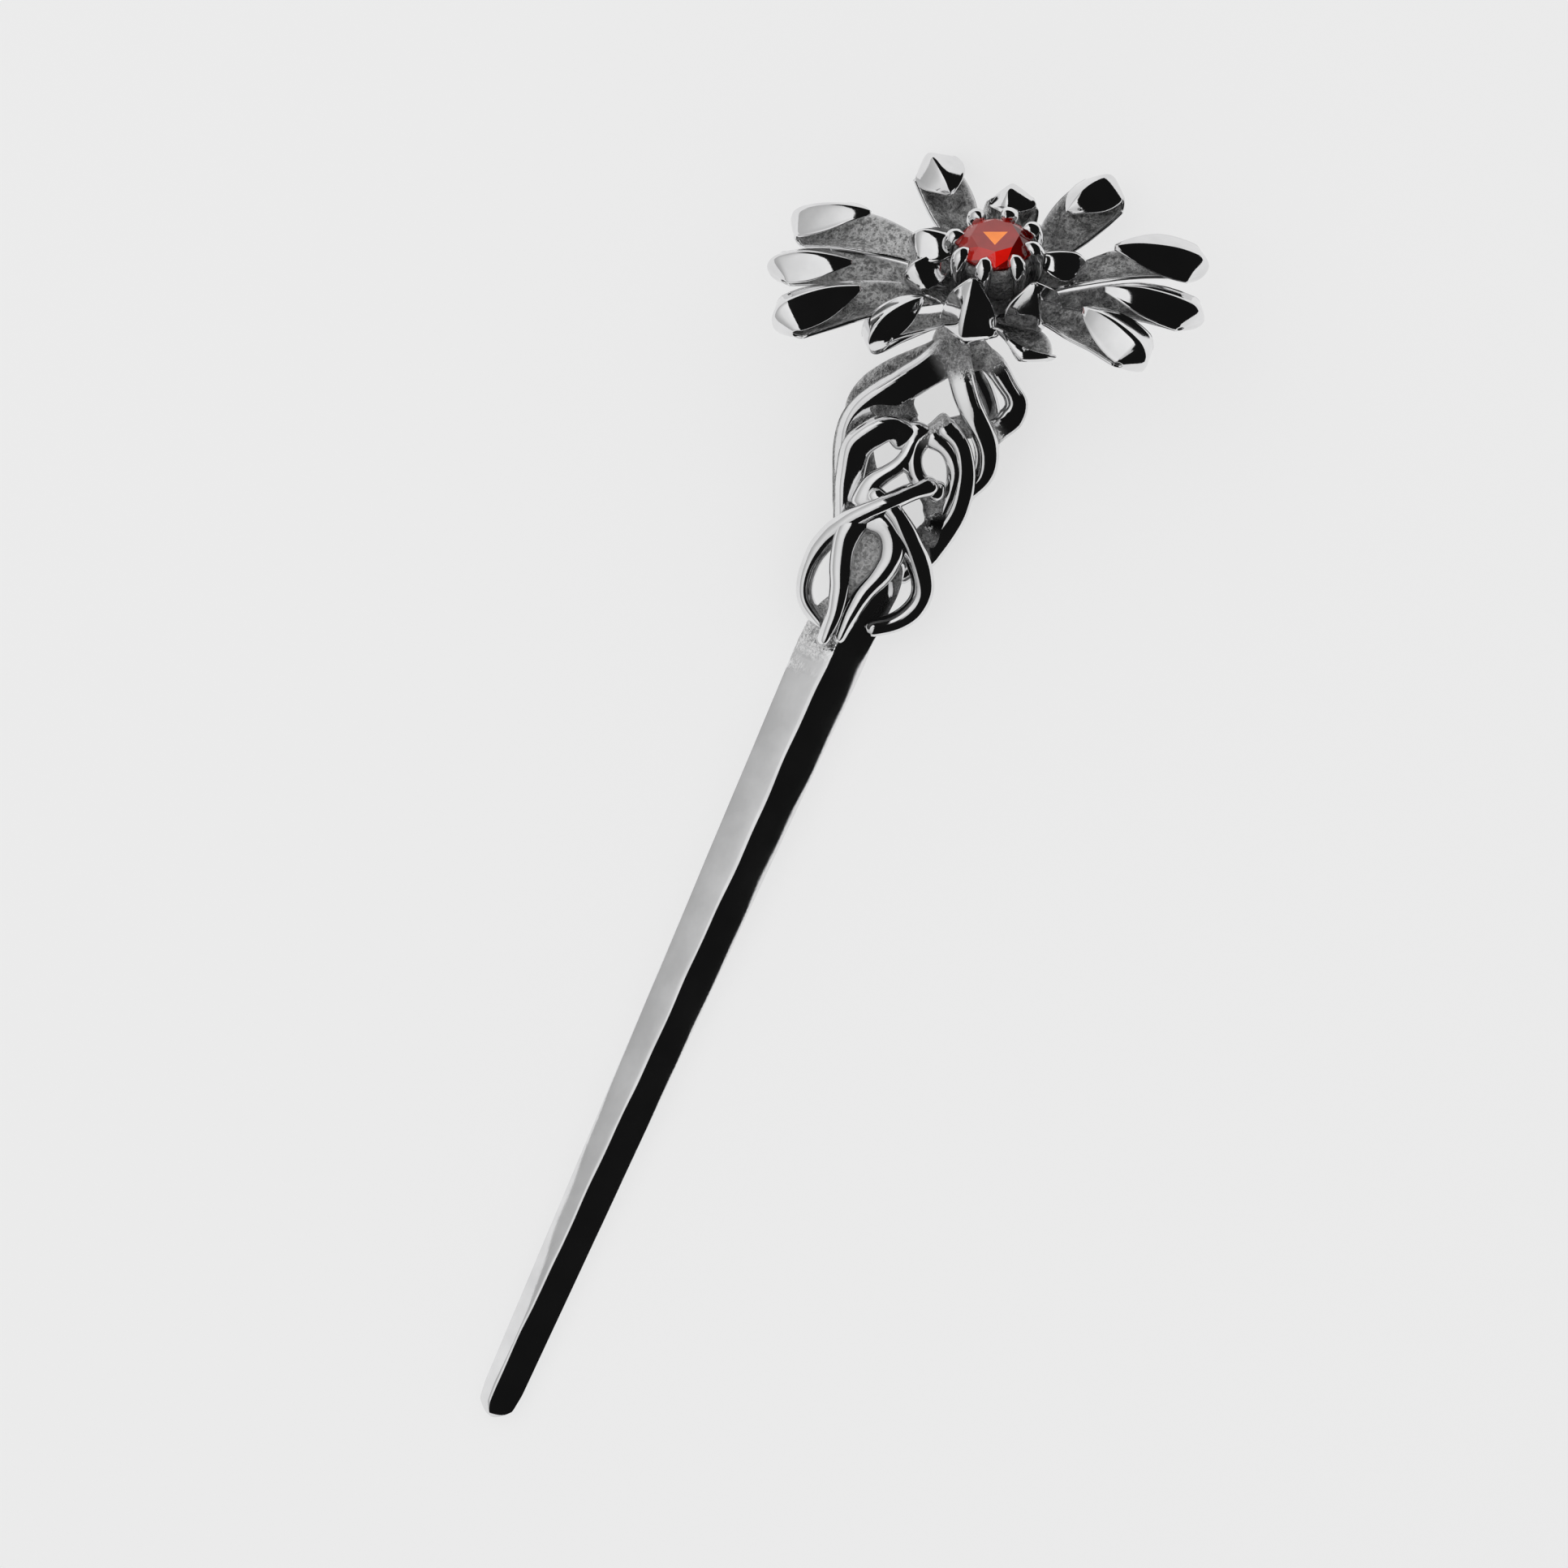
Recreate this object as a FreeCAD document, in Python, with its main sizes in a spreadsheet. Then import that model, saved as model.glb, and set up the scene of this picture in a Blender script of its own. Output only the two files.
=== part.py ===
import FreeCAD, Part
import math
import os

import Sketcher

# A decorative silver hair stick: a tapered shaft, an openwork neck of soldered vines, and a flower of
# curled petals round a claw-set stone. Lengths are millimetres, angles are degrees.
#
# Design frame: x runs along the stick from the shaft's tip to the flower, y across it, z out of the
# stick's front. The whole pin is then laid on its back by the "rest" values, so that it rests on the
# shaft near its tip, one back vine and one petal, with +Z up and the origin under the middle of its box.

Vector = FreeCAD.Vector
doc = FreeCAD.newDocument("hair_pin")
sheet = doc.addObject("Spreadsheet::Sheet", "sizes")

SIZES = [
    ("stone_diameter", 7.0), ("stone_table", 4.6), ("stone_crown", 1.0), ("stone_pavilion", 2.7),
    ("stone_girdle", 0.25), ("stone_height", 5.9),
    ("tip_station", 0.0), ("low_station", 7.5), ("mid_station", 45.0), ("top_station", 80.0),
    ("tongue_station", 91.0),
    ("tip_half_width", 1.15), ("low_half_width", 2.0), ("mid_half_width", 2.7),
    ("top_half_width", 3.4), ("tongue_half_width", 1.0),
    ("tip_half_depth", 0.95), ("low_half_depth", 1.6), ("mid_half_depth", 2.15),
    ("top_half_depth", 2.6), ("tongue_half_depth", 0.9),
    ("flower_x", 118.0), ("flower_y", -0.2), ("flower_z", 4.0), ("flower_tilt", 45.5),
    ("flower_turn", 24.0),
    ("receptacle_radius", 4.4), ("receptacle_height", 2.4), ("receptacle_drop", 1.4),
    ("cup_low_radius", 2.6), ("cup_high_radius", 3.8), ("cup_height", 4.4), ("cup_wall", 0.55),
    ("petal_thickness", 0.9), ("petal_cap_thickness", 1.35), ("petal_cup", 1.0),
    ("outer_bend", 1.1), ("inner_bend", 0.935), ("petal_root_radius", 3.9),
    ("hub_radius", 2.6), ("stem_radius", 1.9), ("leaf_floor_thickness", 0.7),
    ("rest_pitch", -1.385), ("rest_roll", 2.642), ("rest_x", -66.491), ("rest_y", -0.213),
    ("rest_z", 1.417),
]
for row, (alias, value) in enumerate(SIZES, start=1):
    sheet.set("A%d" % row, alias)
    sheet.set("B%d" % row, str(value))
    sheet.setAlias("B%d" % row, alias)
doc.recompute()


def size(alias):
    """The value of one driving dimension."""
    return float(sheet.get(alias))


# ---------------------------------------------------------------- frames
rest = FreeCAD.Placement(
    Vector(size("rest_x"), size("rest_y"), size("rest_z")),
    FreeCAD.Rotation(Vector(0, 1, 0), size("rest_pitch")).multiply(
        FreeCAD.Rotation(Vector(1, 0, 0), size("rest_roll"))))

# The flower's own frame: its z is the flower's axis, which leans forward off the stick and is turned
# a little to its left.
flower_base = Vector(size("flower_x"), size("flower_y"), size("flower_z"))
flower = FreeCAD.Placement(
    flower_base,
    FreeCAD.Rotation(Vector(0, 0, 1), size("flower_turn") - 90.0).multiply(
        FreeCAD.Rotation(Vector(1, 0, 0), -size("flower_tilt"))))

subparts = []


def keep(obj, label):
    """Name a finished sub-part and list it for writing."""
    obj.Label = label
    subparts.append(obj)
    return obj


def shaped(label, shape, placement=rest):
    """A sub-part whose shape is made in code: the shape first, then its place."""
    obj = doc.addObject("Part::Feature", label)
    obj.Shape = shape
    obj.Placement = placement
    return keep(obj, label)


def trimmed(shape, tools):
    """The shape with its neighbours cut away, so that soldered pieces meet face to face.

    A cut that fails or would take most of the piece is left out, and only the largest solid is kept.
    """
    for tool in tools:
        if not shape.BoundBox.intersect(tool.BoundBox):
            continue
        rest_of_it = shape.cut(tool)
        solids = sorted(rest_of_it.Solids, key=lambda solid: solid.Volume)
        if solids and solids[-1].isValid() and solids[-1].Volume > 0.4 * shape.Volume:
            shape = solids[-1]
    return shape


# ---------------------------------------------------------------- shaft
def diamond(body, name, station, half_width, half_depth):
    """One cross-section of the shaft, a diamond with a front ridge, on a plane across the stick."""
    sketch = body.newObject("Sketcher::SketchObject", name)
    plane = [f for f in body.Origin.OriginFeatures if f.Role == "YZ_Plane"][0]
    sketch.AttachmentSupport = [(plane, "")]
    sketch.MapMode = "FlatFace"
    sketch.setExpression("AttachmentOffset.Base.z", "sizes.%s" % station)
    wide, deep = size(half_width), size(half_depth)
    corners = [Vector(wide, 0, 0), Vector(0, deep, 0), Vector(-wide, 0, 0), Vector(0, -deep, 0)]
    for i in range(4):
        sketch.addGeometry(Part.LineSegment(corners[i], corners[(i + 1) % 4]))
    for i in range(4):
        sketch.addConstraint(Sketcher.Constraint("Coincident", i, 2, (i + 1) % 4, 1))
    for i in (0, 2):
        sketch.addConstraint(Sketcher.Constraint("PointOnObject", i, 1, -1))
        sketch.addConstraint(Sketcher.Constraint("PointOnObject", i + 1, 1, -2))
    for i, axis, sign, alias in ((0, "DistanceX", 1, half_width), (2, "DistanceX", -1, half_width),
                                 (1, "DistanceY", 1, half_depth), (3, "DistanceY", -1, half_depth)):
        index = sketch.addConstraint(Sketcher.Constraint(axis, -1, 1, i, 1, sign * size(alias)))
        expression = "sizes.%s" % alias if sign > 0 else "-sizes.%s" % alias
        sketch.setExpression("Constraints[%d]" % index, expression)
    return sketch


def make_shaft():
    """The tapered stick: a ruled loft through its diamonds, so that its four facets stay crisp."""
    body = doc.addObject("PartDesign::Body", "pin_shaft")
    sections = [
        diamond(body, "shaft_%s" % level, "%s_station" % level, "%s_half_width" % level,
                "%s_half_depth" % level)
        for level in ("tip", "low", "mid", "top", "tongue")]
    loft = body.newObject("PartDesign::AdditiveLoft", "shaft_loft")
    loft.Profile = sections[0]
    loft.Sections = sections[1:]
    loft.Ruled = True
    doc.recompute()
    alone = body.Shape.copy()
    body.Placement = rest
    keep(body, "pin_shaft")
    return alone


shaft_shape = make_shaft()


# ---------------------------------------------------------------- hub
def make_hub():
    """The knot where the vines gather: an egg-shaped lump."""
    stretch = FreeCAD.Matrix()
    stretch.scale(1.15, 0.95, 0.8)
    stretch.move(Vector(112.4, 0.9, 0.9))
    return Part.makeSphere(size("hub_radius")).transformGeometry(stretch)


hub_shape = make_hub()
shaped("neck_hub", hub_shape)


# ---------------------------------------------------------------- vines of the neck
def ellipse_wire(centre, side, front, half_wide, half_thick):
    """An oval section: half_wide along side, half_thick along front, never quite round."""
    nearly_round = 0.99
    if half_wide >= half_thick:
        half_thick = min(half_thick, nearly_round * half_wide)
        curve = Part.Ellipse(centre + side * half_wide, centre + front * half_thick, centre)
    else:
        half_wide = min(half_wide, nearly_round * half_thick)
        curve = Part.Ellipse(centre + front * half_thick, centre - side * half_wide, centre)
    return Part.Wire([curve.toShape()])


def vine(points, width, thickness, taper=(0.75, 0.75)):
    """An oval strand through the points, thinner at its ends by the two taper factors."""
    curve = Part.BSplineCurve()
    curve.interpolate([Vector(*p) for p in points])
    count = 2 * len(points)
    start, end = curve.FirstParameter, curve.LastParameter
    wires = []
    for i in range(count + 1):
        share = i / count
        parameter = start + (end - start) * share
        centre = curve.value(parameter)
        along = curve.tangent(parameter)[0]
        front = Vector(0, 0, 1)
        side = along.cross(front).normalize()
        front = side.cross(along).normalize()
        swell = abs(math.sin(math.pi * share)) ** 0.6
        end_size = taper[0] * (1 - share) + taper[1] * share
        factor = end_size + (1 - end_size) * swell
        wires.append(ellipse_wire(centre, side, front, width / 2 * factor, thickness / 2 * factor))
    return Part.makeLoft(wires, True, False)


# Each strand: its name, width, thickness, and the points of its middle line.
VINES = [
    ("vine_front_left", 3.4, 2.2, [(111.6, 0.9, 1.8), (109.1, 2.2, 3.0), (106.4, 4.0, 3.2),
        (103.9, 5.8, 2.6), (101.8, 6.8, 1.6), (99.2, 6.6, 0.6), (96.6, 5.7, -0.2), (93.4, 4.3, -0.9),
        (90.5, 2.2, -1.4)]),
    ("vine_cross_left", 2.8, 2.3, [(101.9, 1.9, 3.3), (102.1, 3.5, 3.6), (100.9, 4.8, 3.4),
        (99.2, 5.7, 2.9), (96.9, 5.4, 2.3), (94.4, 4.7, 1.7), (92.0, 3.7, 0.9), (89.0, 1.8, -0.6)]),
    ("vine_fork_web", 4.0, 1.6, [(104.7, 4.8, 2.4), (103.5, 3.6, 3.0), (102.5, 2.1, 3.3),
        (102.8, 0.2, 3.4), (104.1, -1.3, 3.2), (105.3, -3.3, 3.0)]),
    ("vine_ring", 2.0, 1.9, [(104.1, -1.4, 3.4), (102.7, 0.0, 3.6), (101.0, 0.5, 3.7),
        (99.4, -0.1, 3.7), (98.4, -1.4, 3.6), (98.3, -3.0, 3.2)]),
    ("vine_branch", 2.6, 1.9, [(103.0, 1.0, 3.5), (100.9, 0.9, 3.8), (99.2, 1.3, 3.8), (97.6, 2.3, 3.6),
        (96.2, 3.0, 3.5), (94.6, 2.8, 3.3)]),
    ("vine_small_branch", 0.9, 1.3, [(99.5, 1.1, 3.7), (98.9, -0.2, 3.6), (98.3, -1.4, 3.7)]),
    ("vine_arch", 1.7, 1.8, [(102.8, -0.6, 3.6), (102.5, -1.9, 3.7), (101.4, -3.4, 3.3),
        (99.4, -4.2, 2.5), (96.9, -4.5, 1.6)]),
    ("vine_centre_right", 2.6, 2.3, [(104.0, -1.5, 3.5), (103.4, -2.8, 3.7), (101.9, -4.2, 3.1),
        (100.0, -5.0, 2.3), (97.6, -5.4, 1.4), (95.0, -5.1, 0.4), (92.5, -4.4, -0.6),
        (89.9, -3.2, -1.6)]),
    ("vine_bridge", 2.8, 1.4, [(98.2, -1.9, 3.2), (97.2, -3.3, 2.2), (95.6, -4.2, 1.4),
        (93.8, -3.9, 0.6)]),
    ("vine_front_right", 2.6, 2.2, [(111.4, 0.8, 2.4), (109.6, -0.4, 3.3), (107.7, -1.9, 3.5),
        (106.0, -3.7, 3.3), (104.5, -5.3, 2.7), (102.8, -6.2, 2.0), (101.1, -6.3, 1.4),
        (99.6, -5.5, 1.0)]),
    ("vine_side_right", 2.5, 2.2, [(111.7, -0.6, 1.4), (111.7, -2.8, 1.3), (110.5, -4.8, 1.1),
        (108.9, -6.6, 0.8), (107.1, -6.4, 0.8), (105.2, -5.2, 1.2)]),
    ("vine_back_left", 2.8, 1.9, [(111.2, 1.6, 1.0), (109.1, 3.6, 0.6), (107.1, 5.4, 0.2),
        (105.1, 6.7, -0.4), (102.8, 7.0, -1.0), (100.3, 6.1, -1.6), (97.4, 4.1, -2.2),
        (93.6, 1.1, -2.5), (85.6, -1.1, -2.2)]),
    ("vine_back_right", 2.0, 1.9, [(110.8, -1.0, -0.6), (108.4, -3.8, -1.8), (104.6, -5.8, -2.4),
        (99.5, -5.6, -2.6), (93.5, -3.8, -2.5), (87.0, -1.6, -2.3)]),
    ("calyx_left_loop", 2.2, 2.4, [(98.4, -2.0, 3.8), (96.9, -0.5, 4.3), (95.1, 1.1, 4.5),
        (93.1, 2.9, 3.9), (90.8, 4.4, 2.8), (88.2, 5.2, 1.6), (85.7, 5.1, 0.8), (83.8, 4.3, 0.4),
        (82.4, 2.1, 0.4)]),
    ("calyx_right_loop", 2.2, 2.4, [(95.5, 2.1, 3.9), (94.8, 0.1, 4.2), (93.5, -1.8, 3.8),
        (92.0, -3.5, 2.8), (90.4, -4.9, 1.8), (88.5, -5.7, 1.0), (86.6, -5.3, 0.6), (84.9, -4.0, 0.4),
        (84.0, -2.7, 0.4)]),
]
soldered = [shaft_shape, hub_shape]
for vine_name, vine_width, vine_thickness, vine_points in VINES:
    vine_shape = trimmed(vine(vine_points, vine_width, vine_thickness), soldered)
    soldered.append(vine_shape)
    shaped(vine_name, vine_shape)

# The calyx leaf on the front: two raised rims that meet at its point and run on as two tails, with a
# thin recessed floor between them.
LEAF_RIMS = {
    "left": [(94.1, 1.9, 3.2), (92.3, 2.9, 3.6), (90.0, 3.0, 3.6),
        (87.5, 2.3, 3.4), (85.1, 1.5, 3.2), (82.9, 1.2, 3.1), (81.2, 1.2, 2.9)],
    "right": [(94.0, 1.8, 3.2), (93.6, 0.0, 3.6), (91.9, -1.3, 3.6),
        (89.5, -1.5, 3.4), (86.7, -0.6, 3.2), (84.2, -0.2, 3.1), (82.0, -0.1, 2.9)],
}
for rim_side, rim_points in LEAF_RIMS.items():
    rim_shape = trimmed(vine(rim_points, 1.9, 2.2, taper=(0.6, 0.7)), soldered)
    soldered.append(rim_shape)
    shaped("calyx_rim_%s" % rim_side, rim_shape)


def make_leaf_floor():
    """The thin plate under the leaf's rims, outlined by a closed curve through their middle lines."""
    outline = [Vector(*p) for p in LEAF_RIMS["left"][1:-1]] + \
              [Vector(*p) for p in reversed(LEAF_RIMS["right"][:-1])]
    level = 3.05
    curve = Part.BSplineCurve()
    curve.interpolate([Vector(p.x, p.y, level) for p in outline], PeriodicFlag=True)
    face = Part.Face(Part.Wire([curve.toShape()]))
    return face.extrude(Vector(0, 0, -size("leaf_floor_thickness")))


shaped("calyx_floor", trimmed(make_leaf_floor(), soldered))


# The flower's stem, from the hub to the underside of the receptacle.
stem_end = flower.multVec(Vector(0, 0, -size("receptacle_drop")))
stem_shape = vine([(112.6, 0.9, 0.9), (114.8, 0.5, 1.8), tuple(stem_end)],
                  2 * size("stem_radius"), 2 * size("stem_radius"), taper=(0.9, 1.2))
shaped("flower_stem", trimmed(stem_shape, soldered))

# ---------------------------------------------------------------- receptacle, cup and stone
flower_place = rest.multiply(flower)


def at_height(height):
    """The flower's frame in the laid-down pin, moved up its own axis."""
    return flower_place.multiply(FreeCAD.Placement(Vector(0, 0, height), FreeCAD.Rotation()))


def bound(type_name, name, **expressions):
    """A Part primitive whose properties follow expressions on the sheet."""
    obj = doc.addObject(type_name, name)
    for prop, expression in expressions.items():
        obj.setExpression(prop, expression)
    return obj


receptacle = bound("Part::Cone", "receptacle", Radius1="sizes.receptacle_radius * 0.6",
                   Radius2="sizes.receptacle_radius", Height="sizes.receptacle_height")
receptacle.Placement = at_height(-size("receptacle_drop"))
keep(receptacle, "receptacle")

cup_foot = size("receptacle_height") - size("receptacle_drop")
cup_outside = bound("Part::Cone", "cup_outside", Radius1="sizes.cup_low_radius",
                    Radius2="sizes.cup_high_radius", Height="sizes.cup_height")
cup_inside = bound("Part::Cone", "cup_inside", Radius1="sizes.cup_low_radius - sizes.cup_wall",
                   Radius2="sizes.cup_high_radius - sizes.cup_wall", Height="sizes.cup_height")
cup = doc.addObject("Part::Cut", "setting_cup_cut")
cup.Base = cup_outside
cup.Tool = cup_inside
cup.Placement = at_height(cup_foot)
keep(cup, "setting_cup")

crown = bound("Part::Cone", "stone_crown_part", Radius1="sizes.stone_diameter / 2",
              Radius2="sizes.stone_table / 2", Height="sizes.stone_crown")
crown.setExpression("Placement.Base.z", "sizes.stone_girdle")
girdle = bound("Part::Cylinder", "stone_girdle_part", Radius="sizes.stone_diameter / 2",
               Height="sizes.stone_girdle")
pavilion = bound("Part::Cone", "stone_pavilion_part", Radius1="0 mm",
                 Radius2="sizes.stone_diameter / 2", Height="sizes.stone_pavilion")
pavilion.setExpression("Placement.Base.z", "-sizes.stone_pavilion")
stone = doc.addObject("Part::MultiFuse", "stone_fuse")
stone.Shapes = [crown, girdle, pavilion]
stone.Placement = at_height(size("stone_height"))
keep(stone, "gemstone")
doc.recompute()


# The claws' turns about the stone, and the middle line (radius, height, half width) that each follows.
CLAW_TURNS = (24.0, 69.0, 116.0, 172.0, 214.0, 254.0, 301.0, 341.0)
CLAW_LINE = [(3.6, 1.0, 0.45), (4.15, 3.0, 0.5), (4.3, 4.8, 0.66), (4.15, 5.8, 0.84), (3.75, 6.5, 0.86),
             (3.1, 6.9, 0.3)]


def claw(turn_degrees):
    """One claw: a rounded thorn that stands on the receptacle and leans over the stone's edge."""
    turn = math.radians(turn_degrees)
    out = Vector(math.cos(turn), math.sin(turn), 0)
    side = Vector(-math.sin(turn), math.cos(turn), 0)
    centres = [out * radius + Vector(0, 0, height) for radius, height, _ in CLAW_LINE]
    wires = []
    for i, (_, _, half) in enumerate(CLAW_LINE):
        along = centres[min(i + 1, len(centres) - 1)] - centres[max(i - 1, 0)]
        front = side.cross(along).normalize()
        wires.append(ellipse_wire(centres[i], side, front, half, half * 0.95))
    return Part.makeLoft(wires, True, False)


cup_tool = Part.makeCone(size("cup_low_radius"), size("cup_high_radius"), size("cup_height"),
                         Vector(0, 0, cup_foot))
stone_tool = stone.Shape.copy()
stone_tool.Placement = FreeCAD.Placement(Vector(0, 0, size("stone_height")), FreeCAD.Rotation())
for claw_index, claw_turn in enumerate(CLAW_TURNS):
    shaped("claw_%d" % (claw_index + 1), trimmed(claw(claw_turn), [cup_tool, stone_tool]), flower_place)


# ---------------------------------------------------------------- petals
def petal_line(spec):
    """Points (distance out, height, slope, station) down the middle of a petal, in its own plane.

    The line leaves the root at slope "rise", reaches slope "lift" at the end of the body, turns over
    through the "curl", and comes back as the cap. A station counts 1 for each of those three stages.
    """
    turn_length = spec["bend"] * math.radians(spec["curl"])
    stages = [(spec["length"], 6, spec["rise"], spec["lift"] - spec["rise"]),
              (turn_length, 7, spec["lift"], spec["curl"]),
              (spec["cap"], 5, spec["lift"] + spec["curl"], spec["droop"])]
    out, height, points = 0.0, 0.0, [(0.0, 0.0, spec["rise"], 0.0)]
    for stage, (stage_length, steps, slope, change) in enumerate(stages):
        for i in range(steps):
            middle = math.radians(slope + change * (i + 0.5) / steps)
            out += stage_length / steps * math.cos(middle)
            height += stage_length / steps * math.sin(middle)
            points.append((out, height, slope + change * (i + 1) / steps, stage + (i + 1) / steps))
    return points


# The petal's outline, as shares of its full width at stations along it: 0 to 1 is the body, 1 to 2 the
# turned-over end, which is pinched, and 2 to 3 the cap, which ends in a point.
PETAL_OUTLINE = [(0.0, 0.34), (0.3, 0.6), (0.6, 0.92), (0.8, 0.99), (1.0, 0.94), (1.5, 0.68),
                 (2.0, 0.86), (2.4, 0.82), (2.75, 0.48), (3.0, 0.05)]


def along_outline(station):
    """The petal's width share at a station, read in straight lines between the outline's points."""
    for (low, low_share), (high, high_share) in zip(PETAL_OUTLINE, PETAL_OUTLINE[1:]):
        if station <= high:
            part = (station - low) / (high - low)
            return low_share + (high_share - low_share) * part
    return PETAL_OUTLINE[-1][1]


def ease(low, high, value):
    """A smooth step from 0 at low to 1 at high."""
    part = min(max((value - low) / (high - low), 0.0), 1.0)
    return part * part * (3.0 - 2.0 * part)


def petal(spec):
    """A petal in the flower's frame: a gutter with a keel down its outside, curled over at its end."""
    turn = math.radians(spec["turn"])
    out_way = Vector(math.cos(turn), math.sin(turn), 0)
    side_way = Vector(-math.sin(turn), math.cos(turn), 0)
    wires = []
    for out, height, slope, station in petal_line(spec):
        angle = math.radians(slope)
        reach = min(station, 1.0)
        centre = out_way * (size("petal_root_radius") + out) + Vector(0, 0, height + spec["base"])
        fold_sway, tip_sway = spec["sway"]
        sway = fold_sway * ease(0.3, 1.2, station)
        sway += (tip_sway - fold_sway) * min(max((station - 1.5) / 1.5, 0.0), 1.0)
        centre = centre + side_way * sway
        flat_inner = out_way * -math.sin(angle) + Vector(0, 0, math.cos(angle))
        twist = math.radians(spec["twist"]) * reach
        side = side_way * math.cos(twist) + flat_inner * math.sin(twist)
        inner = flat_inner * math.cos(twist) - side_way * math.sin(twist)
        fullness = along_outline(station)
        half = spec["width"] / 2 * fullness
        cup = size("petal_cup") * fullness ** 2
        body_thick, cap_thick = size("petal_thickness"), size("petal_cap_thickness")
        thick = body_thick + (cap_thick - body_thick) * ease(0.7, 1.4, station)
        thick *= 0.35 + 0.65 * fullness
        edge = inner * 0.35 * thick
        left, right = centre + side * half + inner * cup, centre - side * half + inner * cup
        keel = centre - inner * thick
        corners = [left, centre, right, right - edge, keel, left - edge]
        wires.append(Part.makePolygon(corners + corners[:1]))
    return Part.makeLoft(wires, True, True)


# Each petal's turn about the flower's axis, then its own lengths and slopes. "droop" bends the cap,
# and "sway" carries the fold and then the tip sideways.
PETAL_FIELDS = ("turn", "length", "rise", "lift", "curl", "cap", "droop", "width", "base", "twist",
                "sway")
OUTER_PETALS = [
    (0, 14.6, 30, -16, 165, 8.0, 28, 5.2, 0.1, -14, (0.6, -0.8)),
    (44, 11.0, 14, 12, 165, 4.6, 28, 5.6, -0.2, 6, (0.0, 0.0)),
    (113, 10.8, 14, 14, 165, 3.8, 32, 5.2, -0.3, 12, (0.0, 0.0)),
    (160, 14.6, 20, -18, 165, 7.0, 28, 5.4, 1.4, -4, (0.0, 0.0)),
    (181, 15.7, 16, -10, 165, 6.6, 28, 4.9, 0.8, 0, (-1.0, 1.4)),
    (200, 16.6, 18, -10, 176, 7.2, 24, 5.7, 0.8, 0, (0.0, 0.0)),
    (217, 9.8, 12, 6, 150, 5.4, 28, 3.7, -0.8, 22, (0.0, 0.0)),
    (287, 5.0, 0, 8, 62, 0.5, 4, 6.2, -0.2, -40, (0.0, 0.0)),
    (316, 14.0, 18, -2, 165, 6.6, 28, 5.2, 0.4, -6, (0.0, 0.0)),
    (341, 15.0, 24, -10, 165, 8.0, 28, 5.2, -0.5, -4, (0.6, -1.6)),
]
INNER_PETALS = [
    (0, 3.6, 15, 20, 150, 3.4, 20, 4.6, 0.9, 0, (0.0, 0.0)),
    (78, 5.2, 20, 30, 155, 1.9, 30, 5.0, 1.0, 8, (0.0, 0.0)),
    (163, 3.8, 25, 35, 140, 3.8, 20, 5.2, 1.3, 0, (0.0, 0.0)),
    (200, 3.4, 10, 20, 150, 4.2, 15, 5.0, 0.6, 0, (-1.6, -2.6)),
    (246, 2.2, -10, 0, 105, 5.4, 15, 6.0, -0.2, 0, (0.0, 0.0)),
    (290, 2.0, 0, 10, 85, 4.2, 10, 6.2, 0.4, 0, (1.7, 1.6)),
]
receptacle_tool = Part.makeCone(
    size("receptacle_radius") * 0.6, size("receptacle_radius"), size("receptacle_height"),
    Vector(0, 0, -size("receptacle_drop")))
for ring_name, table in (("outer", OUTER_PETALS), ("inner", INNER_PETALS)):
    for petal_index, values in enumerate(table):
        petal_spec = dict(zip(PETAL_FIELDS, values))
        petal_spec["bend"] = size("%s_bend" % ring_name)
        petal_shape = trimmed(petal(petal_spec), [receptacle_tool])
        shaped("%s_petal_%02d" % (ring_name, petal_index + 1), petal_shape, flower_place)


# ---------------------------------------------------------------- check and write
doc.recompute()
for obj in doc.Objects:
    if "Invalid" in obj.State or "Error" in obj.State:
        raise RuntimeError("%s did not compute: %s" % (obj.Label, obj.State))
os.makedirs("parts", exist_ok=True)
for obj in subparts:
    if obj.Shape.isNull() or not obj.Shape.isValid():
        raise RuntimeError("%s has no valid shape" % obj.Label)
for obj in subparts:
    obj.Shape.exportStep("parts/%s.step" % obj.Label)
print("%d sub-parts written" % len(subparts))
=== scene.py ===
"""A silver hair stick with an openwork neck, a tilted flower of curled petals and a claw-set stone."""
import logging
import math
from dataclasses import dataclass, field
from enum import Enum

import bpy
import numpy as np
from mathutils import Matrix, Vector, noise


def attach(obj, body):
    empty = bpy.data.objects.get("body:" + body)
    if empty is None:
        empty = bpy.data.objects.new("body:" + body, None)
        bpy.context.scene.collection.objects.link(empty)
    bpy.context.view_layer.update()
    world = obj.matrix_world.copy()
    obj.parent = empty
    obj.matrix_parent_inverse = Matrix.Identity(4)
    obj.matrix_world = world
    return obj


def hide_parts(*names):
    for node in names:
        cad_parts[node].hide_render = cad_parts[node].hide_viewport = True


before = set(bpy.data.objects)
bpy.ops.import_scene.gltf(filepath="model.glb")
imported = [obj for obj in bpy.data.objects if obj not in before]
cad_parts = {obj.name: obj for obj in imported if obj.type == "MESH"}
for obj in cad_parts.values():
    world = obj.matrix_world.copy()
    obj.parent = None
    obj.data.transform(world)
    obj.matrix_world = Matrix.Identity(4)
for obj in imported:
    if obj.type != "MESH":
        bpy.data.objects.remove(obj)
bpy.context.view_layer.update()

log = logging.getLogger("hair_pin")

MM = 0.001
BODY = "root"
GRAIN = "grain"
# Real patina and painted shade, held in one mark.
PATINA_AND_SHADE = "patina_and_shade"
# The painted light of each stone facet: painted reflections and a painted glint.
PAINTED_LIGHT = "painted_light"
GLOW = "glow"
THINNEST = 0.04
# Vector noise draws its offsets anew in each run unless this seeds it.
NOISE_SEED = 5

Colour = tuple[float, float, float]
Point = tuple[float, float, float]
Corners = list[tuple[float, float]]


class Slot(Enum):
    """The names of the material slots."""

    POLISHED = "polished_silver"
    PETAL = "petal_silver"
    MATTE = "matte_silver"
    STONE = "stone"


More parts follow.
